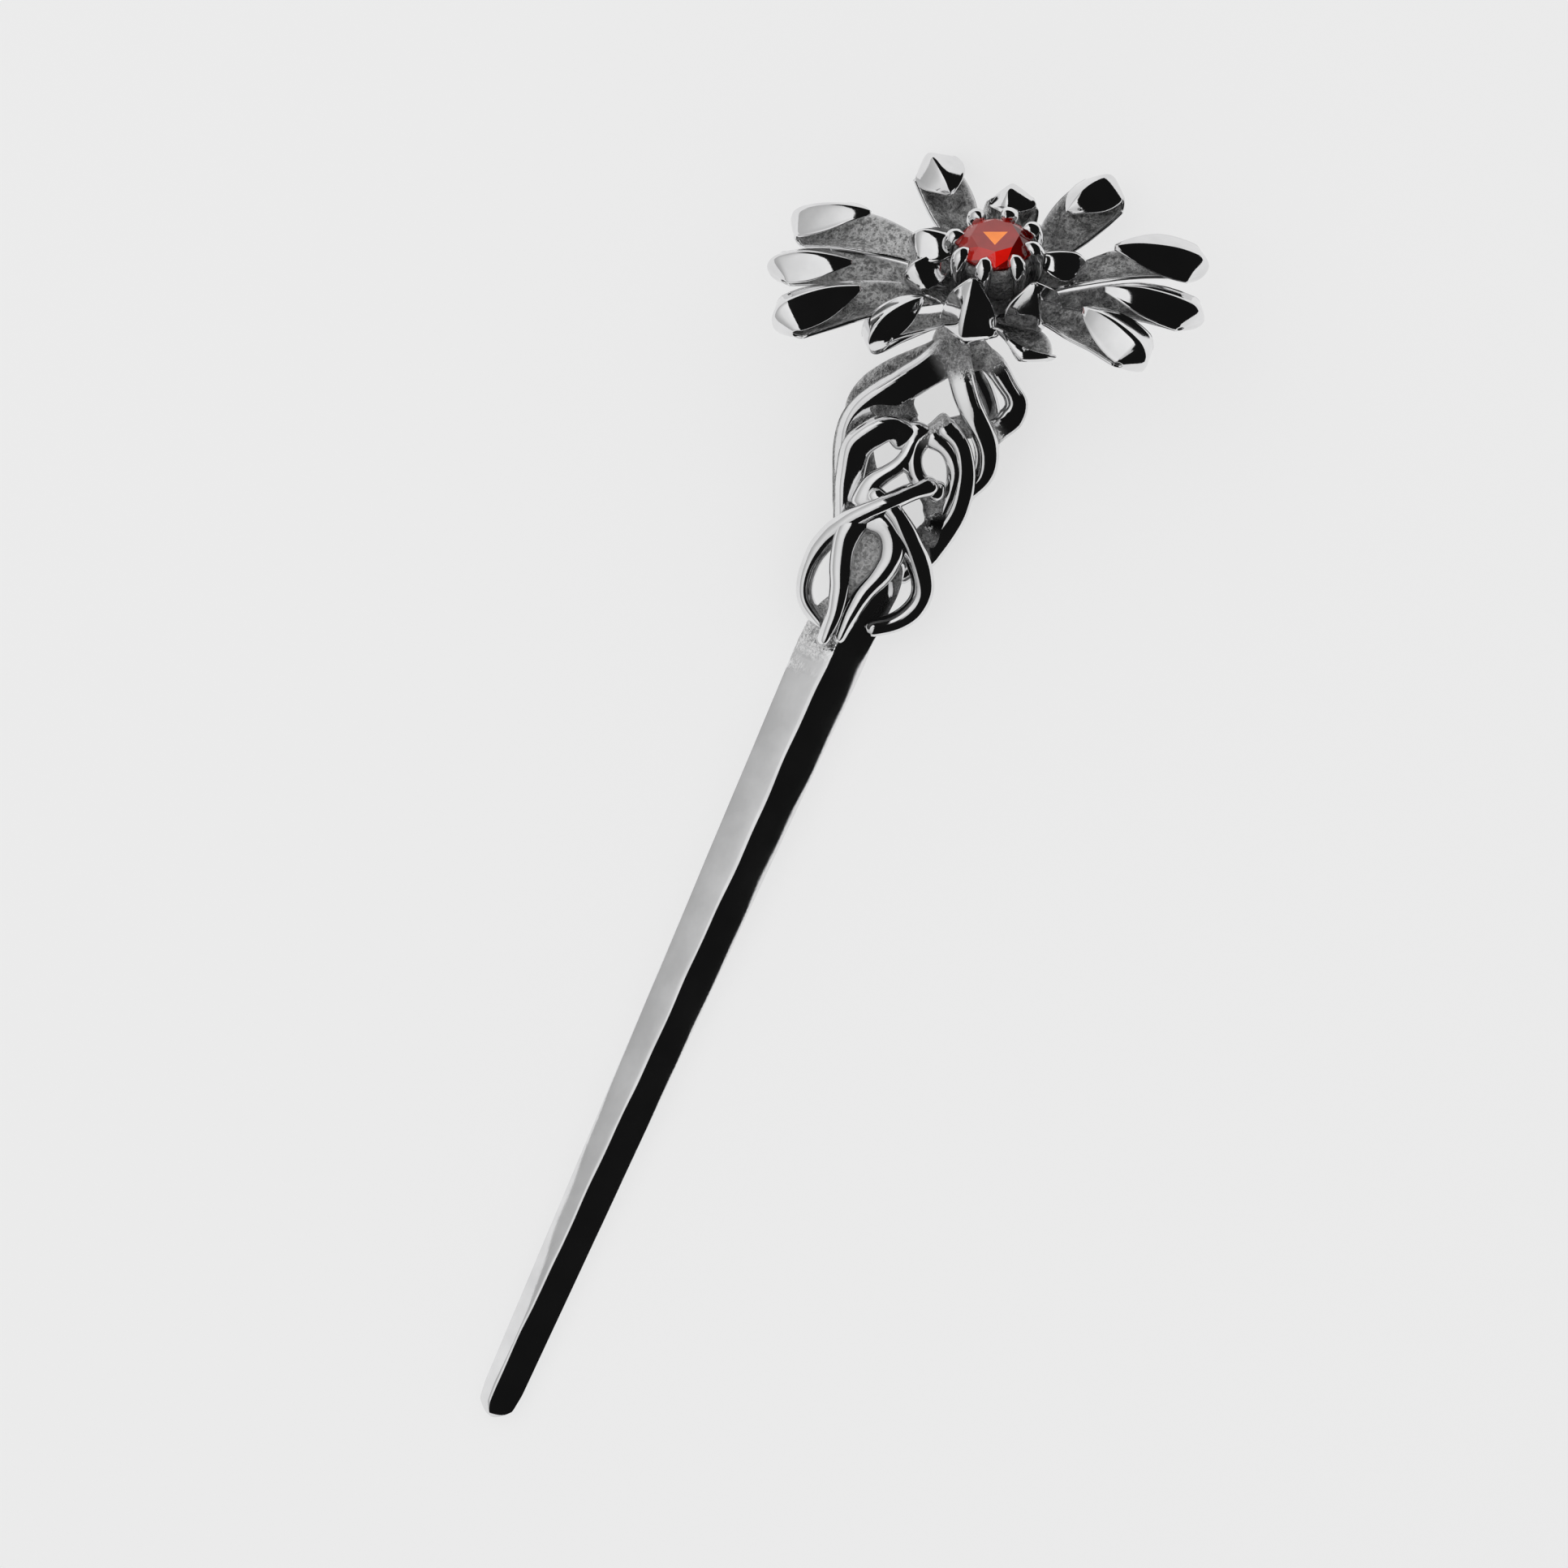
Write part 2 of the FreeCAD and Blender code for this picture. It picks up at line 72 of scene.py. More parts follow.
# ---------------------------------------------------------------- places
@dataclass(frozen=True)
class RestPose:
    """How the pin lies on its back: its design frame, in millimetres, laid down in the row frame."""

    pitch: float = -1.385
    roll: float = 2.642
    offset: Point = (-66.491, -0.213, 1.417)

    def matrix(self) -> Matrix:
        """Lay the pin down.

        Returns:
            The change from design millimetres to row metres.
        """
        turn = Matrix.Rotation(math.radians(self.pitch), 4, "Y") @ Matrix.Rotation(
            math.radians(self.roll), 4, "X")
        return Matrix.Scale(MM, 4) @ Matrix.Translation(self.offset) @ turn


@dataclass(frozen=True)
class FlowerPose:
    """Where the flower sits on the stick: its base, its forward tilt and its turn to the left."""

    base: Point = (118.0, -0.2, 4.0)
    tilt: float = 45.5
    turn: float = 24.0

    def matrix(self) -> Matrix:
        """Tilt and turn the flower.

        Returns:
            The change from flower millimetres to design millimetres.
        """
        turn = Matrix.Rotation(math.radians(self.turn - 90.0), 4, "Z") @ Matrix.Rotation(
            math.radians(-self.tilt), 4, "X")
        return Matrix.Translation(self.base) @ turn


REST = RestPose().matrix()
FLOWER = REST @ FlowerPose().matrix()


# ---------------------------------------------------------------- curves and skins
def ease(low: float, high: float, value: float) -> float:
    """Step smoothly from nought to one.

    Args:
        low: where the step starts.
        high: where it ends.
        value: the place to read.

    Returns:
        0 below low, 1 above high and a smooth step between them.
    """
    part = min(max((value - low) / (high - low), 0.0), 1.0)
    return part * part * (3.0 - 2.0 * part)


def graph(points: Corners, value: float) -> float:
    """Read a graph drawn with straight lines.

    Args:
        points: its (place, height) corners, in order.
        value: the place to read.

    Returns:
        The height there, which stays level beyond the graph's ends.
    """
    if value <= points[0][0]:
        return points[0][1]
    for (low, low_y), (high, high_y) in zip(points, points[1:]):
        if value <= high:
            return low_y + (high_y - low_y) * (value - low) / (high - low)
    return points[-1][1]


def spoke(degrees: float, radius: float = 1.0, height: float = 0.0) -> Vector:
    """Find a point round an upright axis.

    Args:
        degrees: its turn about the axis.
        radius: how far out it is.
        height: how far up it is.

    Returns:
        The point.
    """
    angle = math.radians(degrees)
    return Vector((radius * math.cos(angle), radius * math.sin(angle), height))


class SmoothPath:
    """A natural cubic spline through points, read by a share of its length from 0 to 1."""

    def __init__(self, points: list[Point]) -> None:
        """Solve the spline's second derivatives.

        Args:
            points: its knots, spaced by the chords between them.
        """
        self.knots = np.array(points, float)
        chords = np.linalg.norm(np.diff(self.knots, axis=0), axis=1)
        self.at = np.concatenate([[0.0], np.cumsum(chords)])
        count = len(points)
        system = np.zeros((count, count))
        right = np.zeros((count, 3))
        system[0, 0] = system[-1, -1] = 1.0
        for i in range(1, count - 1):
            before, after = chords[i - 1], chords[i]
            system[i, i - 1:i + 2] = before, 2.0 * (before + after), after
            right[i] = 6.0 * ((self.knots[i + 1] - self.knots[i]) / after
                              - (self.knots[i] - self.knots[i - 1]) / before)
        self.bend = np.linalg.solve(system, right)

    def point(self, share: float) -> Vector:
        """Find the point at a share of the length.

        Args:
            share: from 0 at the first knot to 1 at the last.

        Returns:
            The point.
        """
        where = share * self.at[-1]
        i = min(max(int(np.searchsorted(self.at, where, "right")) - 1, 0), len(self.at) - 2)
        span = self.at[i + 1] - self.at[i]
        b = (where - self.at[i]) / span
        a = 1.0 - b
        value = (a * self.knots[i] + b * self.knots[i + 1]
                 + ((a ** 3 - a) * self.bend[i] + (b ** 3 - b) * self.bend[i + 1]) * span ** 2 / 6.0)
        return Vector(value)

    def along(self, share: float) -> Vector:
        """Find the direction of travel at a share of the length.

        Args:
            share: from 0 at the first knot to 1 at the last.

        Returns:
            The direction, one unit long.
        """
        step = 0.004
        low, high = max(share - step, 0.0), min(share + step, 1.0)
        return (self.point(high) - self.point(low)).normalized()


def superellipse(count: int, power: float) -> Corners:
    """Space points round a unit superellipse.

    Args:
        count: how many points.
        power: 2 is round, less is diamond-like, more is square with soft corners.

    Returns:
        (across, up) pairs, turning from +across towards +up.
    """
    points = []
    for i in range(count):
        angle = 2.0 * math.pi * i / count
        across, up = math.cos(angle), math.sin(angle)
        radius = (abs(across) ** power + abs(up) ** power) ** (-1.0 / power)
        points.append((across * radius, up * radius))
    return points


@dataclass
class Skin:
    """A closed skin over a row of rings, with a grain value and a value of patina and painted shade at
    each point.
    """

    rings: list[list[Vector]] = field(default_factory=list)
    grain: list[list[float]] = field(default_factory=list)
    patina_and_shade: list[list[float]] = field(default_factory=list)

    def add(self, ring: list[Vector], grain: list[float] | None = None,
            patina_and_shade: list[float] | None = None) -> None:
        """Add one ring.

        Args:
            ring: its points.
            grain: how sandy each point is, nought where not given.
            patina_and_shade: how dark each point is, from patina and painted shade, nought where not
                given.
        """
        self.rings.append(ring)
        self.grain.append(grain or [0.0] * len(ring))
        self.patina_and_shade.append(patina_and_shade or [0.0] * len(ring))

    def roughen(self, size: float, scale: float, seed: float) -> None:
        """Move every point a little, as hand filing leaves a casting uneven.

        Args:
            size: the largest move, in millimetres.
            scale: how quickly the unevenness changes, per millimetre.
            seed: where in the noise this piece reads.
        """
        for ring in self.rings:
            for i, point in enumerate(ring):
                wobble = noise.noise_vector(point * scale + Vector((seed, 2.0 * seed, -seed)))
                ring[i] = point + wobble * size

    def sides(self) -> list[tuple[int, ...]]:
        """Join each ring to the next.

        Returns:
            The four-cornered faces, as point numbers.
        """
        around = len(self.rings[0])
        faces = []
        for row in range(len(self.rings) - 1):
            low, high = row * around, (row + 1) * around
            for i in range(around):
                j = (i + 1) % around
                faces.append((low + i, low + j, high + j, high + i))
        return faces

    def fan(self, row: int, middle: int) -> list[tuple[int, ...]]:
        """Close an end ring with triangles.

        Args:
            row: the ring's number.
            middle: the number of the point at its middle.

        Returns:
            The triangles, facing the same way as the sides.
        """
        around = len(self.rings[0])
        faces = []
        for i in range(around):
            here, following = row * around + i, row * around + (i + 1) % around
            faces.append((following, here, middle) if row == 0 else (here, following, middle))
        return faces

    def mesh(self, name: str, place: Matrix) -> bpy.types.Object:
        """Make the object, closed at both ends.

        Args:
            name: what to call it.
            place: the change from the rings' frame to the row frame.

        Returns:
            The new object.
        """
        verts = [place @ point for ring in self.rings for point in ring]
        faces = self.sides()
        marks = {GRAIN: [value for ring in self.grain for value in ring],
                 PATINA_AND_SHADE: [value for ring in self.patina_and_shade for value in ring]}
        for row in (0, len(self.rings) - 1):
            around = len(self.rings[row])
            faces += self.fan(row, len(verts))
            verts.append(place @ (sum(self.rings[row], Vector()) / around))
            marks[GRAIN].append(sum(self.grain[row]) / around)
            marks[PATINA_AND_SHADE].append(sum(self.patina_and_shade[row]) / around)
        return new_object(name, verts, faces, marks)


def bare_object(name: str, verts: list[Vector], faces: list[tuple[int, ...]],
                marks: dict[str, list[float]]) -> bpy.types.Object:
    """Put a mesh in the scene.

    Args:
        name: what to call the object and its mesh.
        verts: its points, in the row frame.
        faces: its faces, as point numbers.
        marks: a value at each point for each named mark.

    Returns:
        The new object, flat-shaded.
    """
    mesh = bpy.data.meshes.new(name)
    mesh.from_pydata([tuple(v) for v in verts], [], faces)
    for mark, values in marks.items():
        mesh.attributes.new(mark, "FLOAT", "POINT").data.foreach_set("value", values)
    obj = bpy.data.objects.new(name, mesh)
    bpy.context.scene.collection.objects.link(obj)
    return obj


def new_object(name: str, verts: list[Vector], faces: list[tuple[int, ...]],
               marks: dict[str, list[float]]) -> bpy.types.Object:
    """Put a smooth-shaded mesh in the scene, its faces turned outwards.

    Args:
        name: what to call the object and its mesh.
        verts: its points, in the row frame.
        faces: its faces, as point numbers.
        marks: a value at each point for each named mark.

    Returns:
        The new object.
    """
    obj = bare_object(name, verts, faces, marks)
    mesh = obj.data
    mesh.validate()
    mesh.polygons.foreach_set("use_smooth", [True] * len(mesh.polygons))
    face_outwards(mesh)
    return obj


def face_outwards(mesh: bpy.types.Mesh) -> None:
    """Turn the faces out if the mesh is inside out, told by the sign of its volume.

    Args:
        mesh: the closed mesh.
    """
    mesh.calc_loop_triangles()
    volume = 0.0
    for triangle in mesh.loop_triangles:
        a, b, c = (mesh.vertices[i].co for i in triangle.vertices)
        volume += a.dot(b.cross(c))
    if volume < 0.0:
        mesh.flip_normals()
    mesh.update()


def place_piece(obj: bpy.types.Object, node: str, material: bpy.types.Material) -> None:
    """Dress a piece, seat it on its body and let it stand for its CAD node.

    Args:
        obj: the piece.
        node: the CAD node that it stands for.
        material: its finish.
    """
    obj.data.materials.append(material)
    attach(obj, BODY)
    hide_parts(node)
    log.info("%s stands for %s, %d faces", obj.name, node, len(obj.data.polygons))


# ---------------------------------------------------------------- finishes
Socket = bpy.types.NodeSocket


class Wiring:
    """A small helper for wiring one material's nodes."""

    def __init__(self, name: str) -> None:
        """Start an empty material with its output and its object coordinates.

        Args:
            name: what to call the material.
        """
        self.material = bpy.data.materials.new(name)
        self.material.use_nodes = True
        self.tree = self.material.node_tree
        self.tree.nodes.clear()
        self.output = self.tree.nodes.new("ShaderNodeOutputMaterial")
        self.coords = self.tree.nodes.new("ShaderNodeTexCoord")

    def node(self, kind: str, **values: object) -> bpy.types.Node:
        """Add a node.

        Args:
            kind: the node's type.
            values: values for its sockets, with _ for a space, or for its settings.

        Returns:
            The new node.
        """
        made = self.tree.nodes.new(kind)
        for key, value in values.items():
            socket = made.inputs.get(key.replace("_", " "))
            if socket is not None:
                socket.default_value = value
            else:
                setattr(made, key, value)
        return made

    def wire(self, source: Socket, target: Socket) -> None:
        """Join an output to an input."""
        self.tree.links.new(source, target)

    def feed(self, target: Socket, value: Socket | Colour | float) -> None:
        """Give an input what it reads.

        Args:
            target: the input.
            value: an output to join to it, or a colour or a number to set on it.
        """
        if isinstance(value, bpy.types.NodeSocket):
            self.wire(value, target)
        elif isinstance(value, tuple):
            target.default_value = (*value, 1.0)
        else:
            target.default_value = value

    def noise(self, scale: float, detail: float = 3.0, roughness: float = 0.55) -> Socket:
        """Add a noise pattern.

        Args:
            scale: how many of its lumps fit in a metre.
            detail: how many finer layers it has.
            roughness: how strong the finer layers are.

        Returns:
            The pattern's height.
        """
        made = self.node("ShaderNodeTexNoise", Scale=scale, Detail=detail, Roughness=roughness)
        self.wire(self.coords.outputs["Object"], made.inputs["Vector"])
        return made.outputs["Fac"]

    def mark(self, name: str) -> Socket:
        """Read a mark of the mesh's points."""
        return self.node("ShaderNodeAttribute", attribute_name=name).outputs["Fac"]

    def ramp(self, source: Socket, stops: list[tuple[float, Colour]]) -> Socket:
        """Colour a pattern by its height.

        Args:
            source: the pattern.
            stops: the colour at each height.

        Returns:
            The colour.
        """
        made = self.node("ShaderNodeValToRGB")
        ramp = made.color_ramp
        while len(ramp.elements) < len(stops):
            ramp.elements.new(0.5)
        for element, (position, colour) in zip(ramp.elements, stops):
            element.position = position
            element.color = (*colour, 1.0)
        self.wire(source, made.inputs["Fac"])
        return made.outputs["Color"]

    def remap(self, source: Socket, low: float, high: float, to_low: float, to_high: float) -> Socket:
        """Map a range of values to another.

        Args:
            source: the values.
            low: the start of their range.
            high: the end of their range.
            to_low: what the start becomes.
            to_high: what the end becomes.

        Returns:
            The new values, kept inside their range.
        """
        made = self.node("ShaderNodeMapRange", clamp=True)
        for index, value in enumerate((low, high, to_low, to_high)):
            made.inputs[index + 1].default_value = value
        self.wire(source, made.inputs[0])
        return made.outputs[0]

    def math(self, operation: str, first: Socket, second: Socket | float) -> Socket:
        """Do one sum.

        Args:
            operation: which sum.
            first: its first value.
            second: its second value.

        Returns:
            The result.
        """
        made = self.node("ShaderNodeMath", operation=operation)
        self.wire(first, made.inputs[0])
        self.feed(made.inputs[1], second)
        return made.outputs[0]

    def blend(self, share: Socket, first: Socket, second: Socket) -> Socket:
        """Mix two values.

        Args:
            share: the second's share.
            first: the value at no share.
            second: the value at a full share.

        Returns:
            The mixed value.
        """
        made = self.node("ShaderNodeMix", data_type="FLOAT")
        for index, value in ((0, share), (2, first), (3, second)):
            self.wire(value, made.inputs[index])
        return made.outputs[0]

    def mix(self, share: Socket | float, first: Socket, second: Socket | Colour,
            blend: str = "MIX") -> Socket:
        """Mix two colours.

        Args:
            share: the second's share.
            first: the colour underneath.
            second: the colour on top.
            blend: how the top one is laid on.

        Returns:
            The mixed colour.
        """
        made = self.node("ShaderNodeMix", data_type="RGBA", blend_type=blend)
        for index, value in ((0, share), (6, first), (7, second)):
            self.feed(made.inputs[index], value)
        return made.outputs[2]


@dataclass(frozen=True)
class SilverFinish:
    """Silver that is polished where its grain is nought and sand-grained where it is one.

    The patina-and-shade mark, which holds real patina and painted shade, and the hollows of the shape,
    which take patina and painted shade alike, darken it. The scales count lumps to a metre.
    """

    name: str
    bright: Colour = (0.86, 0.86, 0.865)
    dull: Colour = (0.76, 0.76, 0.765)
    grained: Colour = (0.98, 0.98, 0.98)
    grained_dark: Colour = (0.36, 0.36, 0.36)
    streaked: Colour = (0.42, 0.42, 0.42)
    # The dark colour of tarnish and of painted shade.
    tarnish_and_shade_colour: Colour = (0.05, 0.05, 0.052)
    polish_roughness: float = 0.04
    grain_roughness: float = 0.36
    grain_metal: float = 0.28
    grain_scale: float = 3000.0
    cloud_scale: float = 240.0
    streak_scale: float = 620.0
    scratch_scale: float = 9000.0
    grain_depth: float = 0.0006
    scratch_share: float = 0.003
    hollow_patina_and_shade: float = 0.35

    def sand_colour(self, nodes: Wiring, sand: Socket, coarse: Socket) -> Socket:
        """Speckle the grained silver, with darker streaks where the patina-and-shade mark is high, so
        both where it is tarnished and where painted shade lies.

        Args:
            nodes: the material's wiring.
            sand: the fine grain.
            coarse: the coarse grain.

        Returns:
            The colour of the grained silver.
        """
        speck = nodes.math("ADD", nodes.math("MULTIPLY", sand, 0.7), nodes.math("MULTIPLY", coarse, 0.3))
        specked = nodes.ramp(speck, [(0.42, self.grained_dark), (0.54, self.grained)])
        streak = nodes.ramp(nodes.noise(self.streak_scale, 3.0, 0.5),
                            [(0.42, self.streaked), (0.56, (1.0, 1.0, 1.0))])
        # The patina-and-shade mark, which carries painted shade as well as real patina, sets how strongly
        # the streaks darken.
        share = nodes.remap(nodes.mark(PATINA_AND_SHADE), 0.0, 0.4, 0.08, 1.0)
        return nodes.mix(share, specked, streak, "MULTIPLY")

    def tarnish_and_painted_shade(self, nodes: Wiring, coarse: Socket) -> Socket:
        """Darken the patina-and-shade mark and the hollows, in spots, with tarnish and painted shade.

        Args:
            nodes: the material's wiring.
            coarse: the coarse grain.

        Returns:
            How much tarnish and painted shade lies at each place.
        """
        bend = nodes.node("ShaderNodeNewGeometry").outputs["Pointiness"]
        # Patina and painted shade in the hollows of the shape, read from its pointiness.
        hollow = nodes.math("MULTIPLY", nodes.remap(bend, 0.38, 0.47, 1.0, 0.0), self.hollow_patina_and_shade)
        patina_and_shade_amount = nodes.math("MAXIMUM", hollow, nodes.mark(PATINA_AND_SHADE))
        return nodes.math("MULTIPLY", patina_and_shade_amount, nodes.remap(coarse, 0.3, 0.6, 1.0, 0.7))

    def relief(self, nodes: Wiring, sand: Socket, coarse: Socket) -> Socket:
        """Raise the grain, and scratch the polish very faintly.

        Args:
            nodes: the material's wiring.
            sand: the fine grain.
            coarse: the coarse grain.

        Returns:
            The bumped surface direction.
        """
        lumps = nodes.math("ADD", sand, nodes.math("MULTIPLY", coarse, 0.8))
        scratches = nodes.math("MULTIPLY", nodes.noise(self.scratch_scale, 1.0), self.scratch_share)
        height = nodes.math("ADD", nodes.math("MULTIPLY", lumps, nodes.mark(GRAIN)), scratches)
        bump = nodes.node("ShaderNodeBump", Strength=1.0, Distance=self.grain_depth)
        nodes.wire(height, bump.inputs["Height"])
        return bump.outputs["Normal"]

    def build(self) -> bpy.types.Material:
        """Wire the finish up.

        Returns:
            The material.
        """
        nodes = Wiring(self.name)
        shader = nodes.node("ShaderNodeBsdfPrincipled", IOR=1.5)
        grain = nodes.mark(GRAIN)
        cloud = nodes.noise(self.cloud_scale, 4.0)
        sand = nodes.noise(self.grain_scale, 2.0, 0.6)
        coarse = nodes.noise(self.grain_scale * 0.3, 3.0, 0.6)
        polished = nodes.ramp(cloud, [(0.35, self.dull), (0.65, self.bright)])
        clean = nodes.mix(grain, polished, self.sand_colour(nodes, sand, coarse))
        smooth = nodes.remap(cloud, 0.3, 0.7, self.polish_roughness, self.polish_roughness * 2.2)
        rough = nodes.remap(sand, 0.3, 0.7, self.grain_roughness, self.grain_roughness * 0.6)
        nodes.wire(nodes.mix(self.tarnish_and_painted_shade(nodes, coarse), clean, self.tarnish_and_shade_colour), shader.inputs["Base Color"])
        nodes.wire(nodes.blend(grain, smooth, rough), shader.inputs["Roughness"])
        nodes.wire(nodes.remap(grain, 0.0, 1.0, 1.0, self.grain_metal), shader.inputs["Metallic"])
        nodes.wire(self.relief(nodes, sand, coarse), shader.inputs["Normal"])
        nodes.wire(shader.outputs["BSDF"], nodes.output.inputs["Surface"])
        return nodes.material


@dataclass(frozen=True)
class StoneFinish:
    """An orange-red faceted stone, whose facets are painted from deep red to a bright orange glint as
    painted reflections, and which glows faintly with painted light of its own colour.
    """

    name: str = "orange_red_stone"
    # Colours of the painted facet light, from a dark facet to the bright glint.
    stops: tuple[tuple[float, Colour], ...] = (
        (0.0, (0.02, 0.0, 0.0)), (0.25, (0.2, 0.003, 0.002)), (0.5, (0.66, 0.008, 0.004)),
        (0.75, (0.29, 0.028, 0.024)), (1.0, (1.0, 0.26, 0.03)))
    # Painted light: the stone glows with its own colour, though it is no lamp.
    glow: float = 0.35
    cloud_scale: float = 700.0
    ripple_scale: float = 5000.0
    ripple_depth: float = 0.00001

    def build(self) -> bpy.types.Material:
        """Wire the finish up.

        Returns:
            The material.
        """
        nodes = Wiring(self.name)
        shader = nodes.node("ShaderNodeBsdfPrincipled", Metallic=0.0, IOR=1.76,
                            Emission_Strength=self.glow)
        cloud = nodes.noise(self.cloud_scale, 2.0)
        shade = nodes.ramp(cloud, [(0.3, (0.82, 0.82, 0.82)), (0.7, (1.0, 1.0, 1.0))])
        # The stone's red, painted lighter or darker facet by facet as painted reflections and a painted
        # glint.
        painted_light = nodes.ramp(nodes.mark(PAINTED_LIGHT), list(self.stops))
        colour = nodes.mix(1.0, painted_light, shade, "MULTIPLY")
        nodes.wire(colour, shader.inputs["Base Color"])
        # The painted facet colour also glows, as painted light.
        nodes.wire(colour, shader.inputs["Emission Color"])
        nodes.wire(nodes.remap(cloud, 0.3, 0.7, 0.02, 0.06), shader.inputs["Roughness"])
        bump = nodes.node("ShaderNodeBump", Strength=0.15, Distance=self.ripple_depth)
        nodes.wire(nodes.noise(self.ripple_scale, 1.0), bump.inputs["Height"])
        nodes.wire(bump.outputs["Normal"], shader.inputs["Normal"])
        nodes.wire(shader.outputs["BSDF"], nodes.output.inputs["Surface"])
        return nodes.material


# ---------------------------------------------------------------- stick
@dataclass
class Shaft:
    """The tapered stick: a bowed diamond in section, with a front ridge and a blunt tip.

    The graphs run along the stick from its tip. The ridge's is its place across the width, from -1
    to 1.
    """

    half_width: Corners = field(default_factory=lambda: [
        (0.0, 1.15), (1.2, 1.7), (3.0, 1.92), (7.5, 2.0), (45.0, 2.7), (80.0, 3.4), (84.0, 3.2),
        (87.5, 2.3), (91.0, 1.0)])
    half_depth: Corners = field(default_factory=lambda: [
        (0.0, 0.9), (1.5, 1.3), (7.5, 1.6), (45.0, 2.15), (80.0, 2.6), (91.0, 0.9)])
    ridge: Corners = field(default_factory=lambda: [
        (0.0, 0.42), (8.0, 0.36), (18.0, 0.22), (29.0, 0.1), (42.0, 0.02), (55.0, -0.04),
        (76.0, -0.06), (91.0, -0.1)])
    length: float = 91.0
    dome: float = 1.5
    tongue_start: float = 82.0
    tongue_shift: float = -2.0
    bow: float = 1.07
    waves: Corners = field(default_factory=lambda: [(0.02, 0.29), (0.012, 0.83)])
    grain_start: tuple[float, float] = (77.5, 82.0)
    grain_strength: float = 0.7
    rings: int = 260
    dome_rings: int = 8
    around: int = 64

    def outline(self, ridge: float) -> Corners:
        """Draw the bowed diamond.

        Args:
            ridge: where its front ridge stands across the width.

        Returns:
            (across, up) pairs round the section, each from -1 to 1.
        """
        points = []
        for i in range(self.around):
            angle = 2.0 * math.pi * i / self.around
            across = math.cos(angle)
            peak = ridge if math.sin(angle) > 0.0 else 0.0
            away = (across - peak) / (1.0 - peak) if across > peak else (peak - across) / (1.0 + peak)
            up = max(1.0 - away ** self.bow, 0.0) ** (1.0 / self.bow)
            points.append((across, math.copysign(up, math.sin(angle))))
        return points

    def stations(self) -> list[float]:
        """Choose where the rings stand.

        Returns:
            Their distances from the tip, close together over its dome and then even.
        """
        steps, rest = self.dome_rings, self.length - self.dome
        tip = [self.dome * (1.0 - math.cos(math.pi / 2 * i / steps)) for i in range(steps + 1)]
        return tip + [self.dome + rest * i / self.rings for i in range(1, self.rings + 1)]

    def build(self) -> bpy.types.Object:
        """Skin the stick from its domed tip to the end of its tongue.

        Returns:
            The stick.
        """
        skin = Skin()
        for x in self.stations():
            short = max(self.dome - x, 0.0) / self.dome
            full = max(math.sqrt(1.0 - short ** 2), THINNEST)
            wide = graph(self.half_width, x) * full
            deep = graph(self.half_depth, x) * full
            shift = self.tongue_shift * ease(self.tongue_start, self.length, x)
            wander = sum(size * math.sin(x * pace + phase)
                         for phase, (size, pace) in enumerate(self.waves))
            ring, grain = [], []
            for across, up in self.outline(graph(self.ridge, x) + wander):
                ring.append(Vector((x, shift + across * wide, up * deep)))
                worn = noise.noise(Vector((x * 0.9, across * 1.5, up * 1.5)))
                sandy = ease(*self.grain_start, x + 3.0 * worn) * ease(-0.1, 0.3, across)
                grain.append(self.grain_strength * sandy)
            skin.add(ring, grain)
        skin.roughen(0.02, 0.12, 3.0)
        return skin.mesh("silver_stick", REST)

    def dress(self, material: bpy.types.Material) -> None:
        """Build the stick and seat it."""
        place_piece(self.build(), "pin_shaft", material)


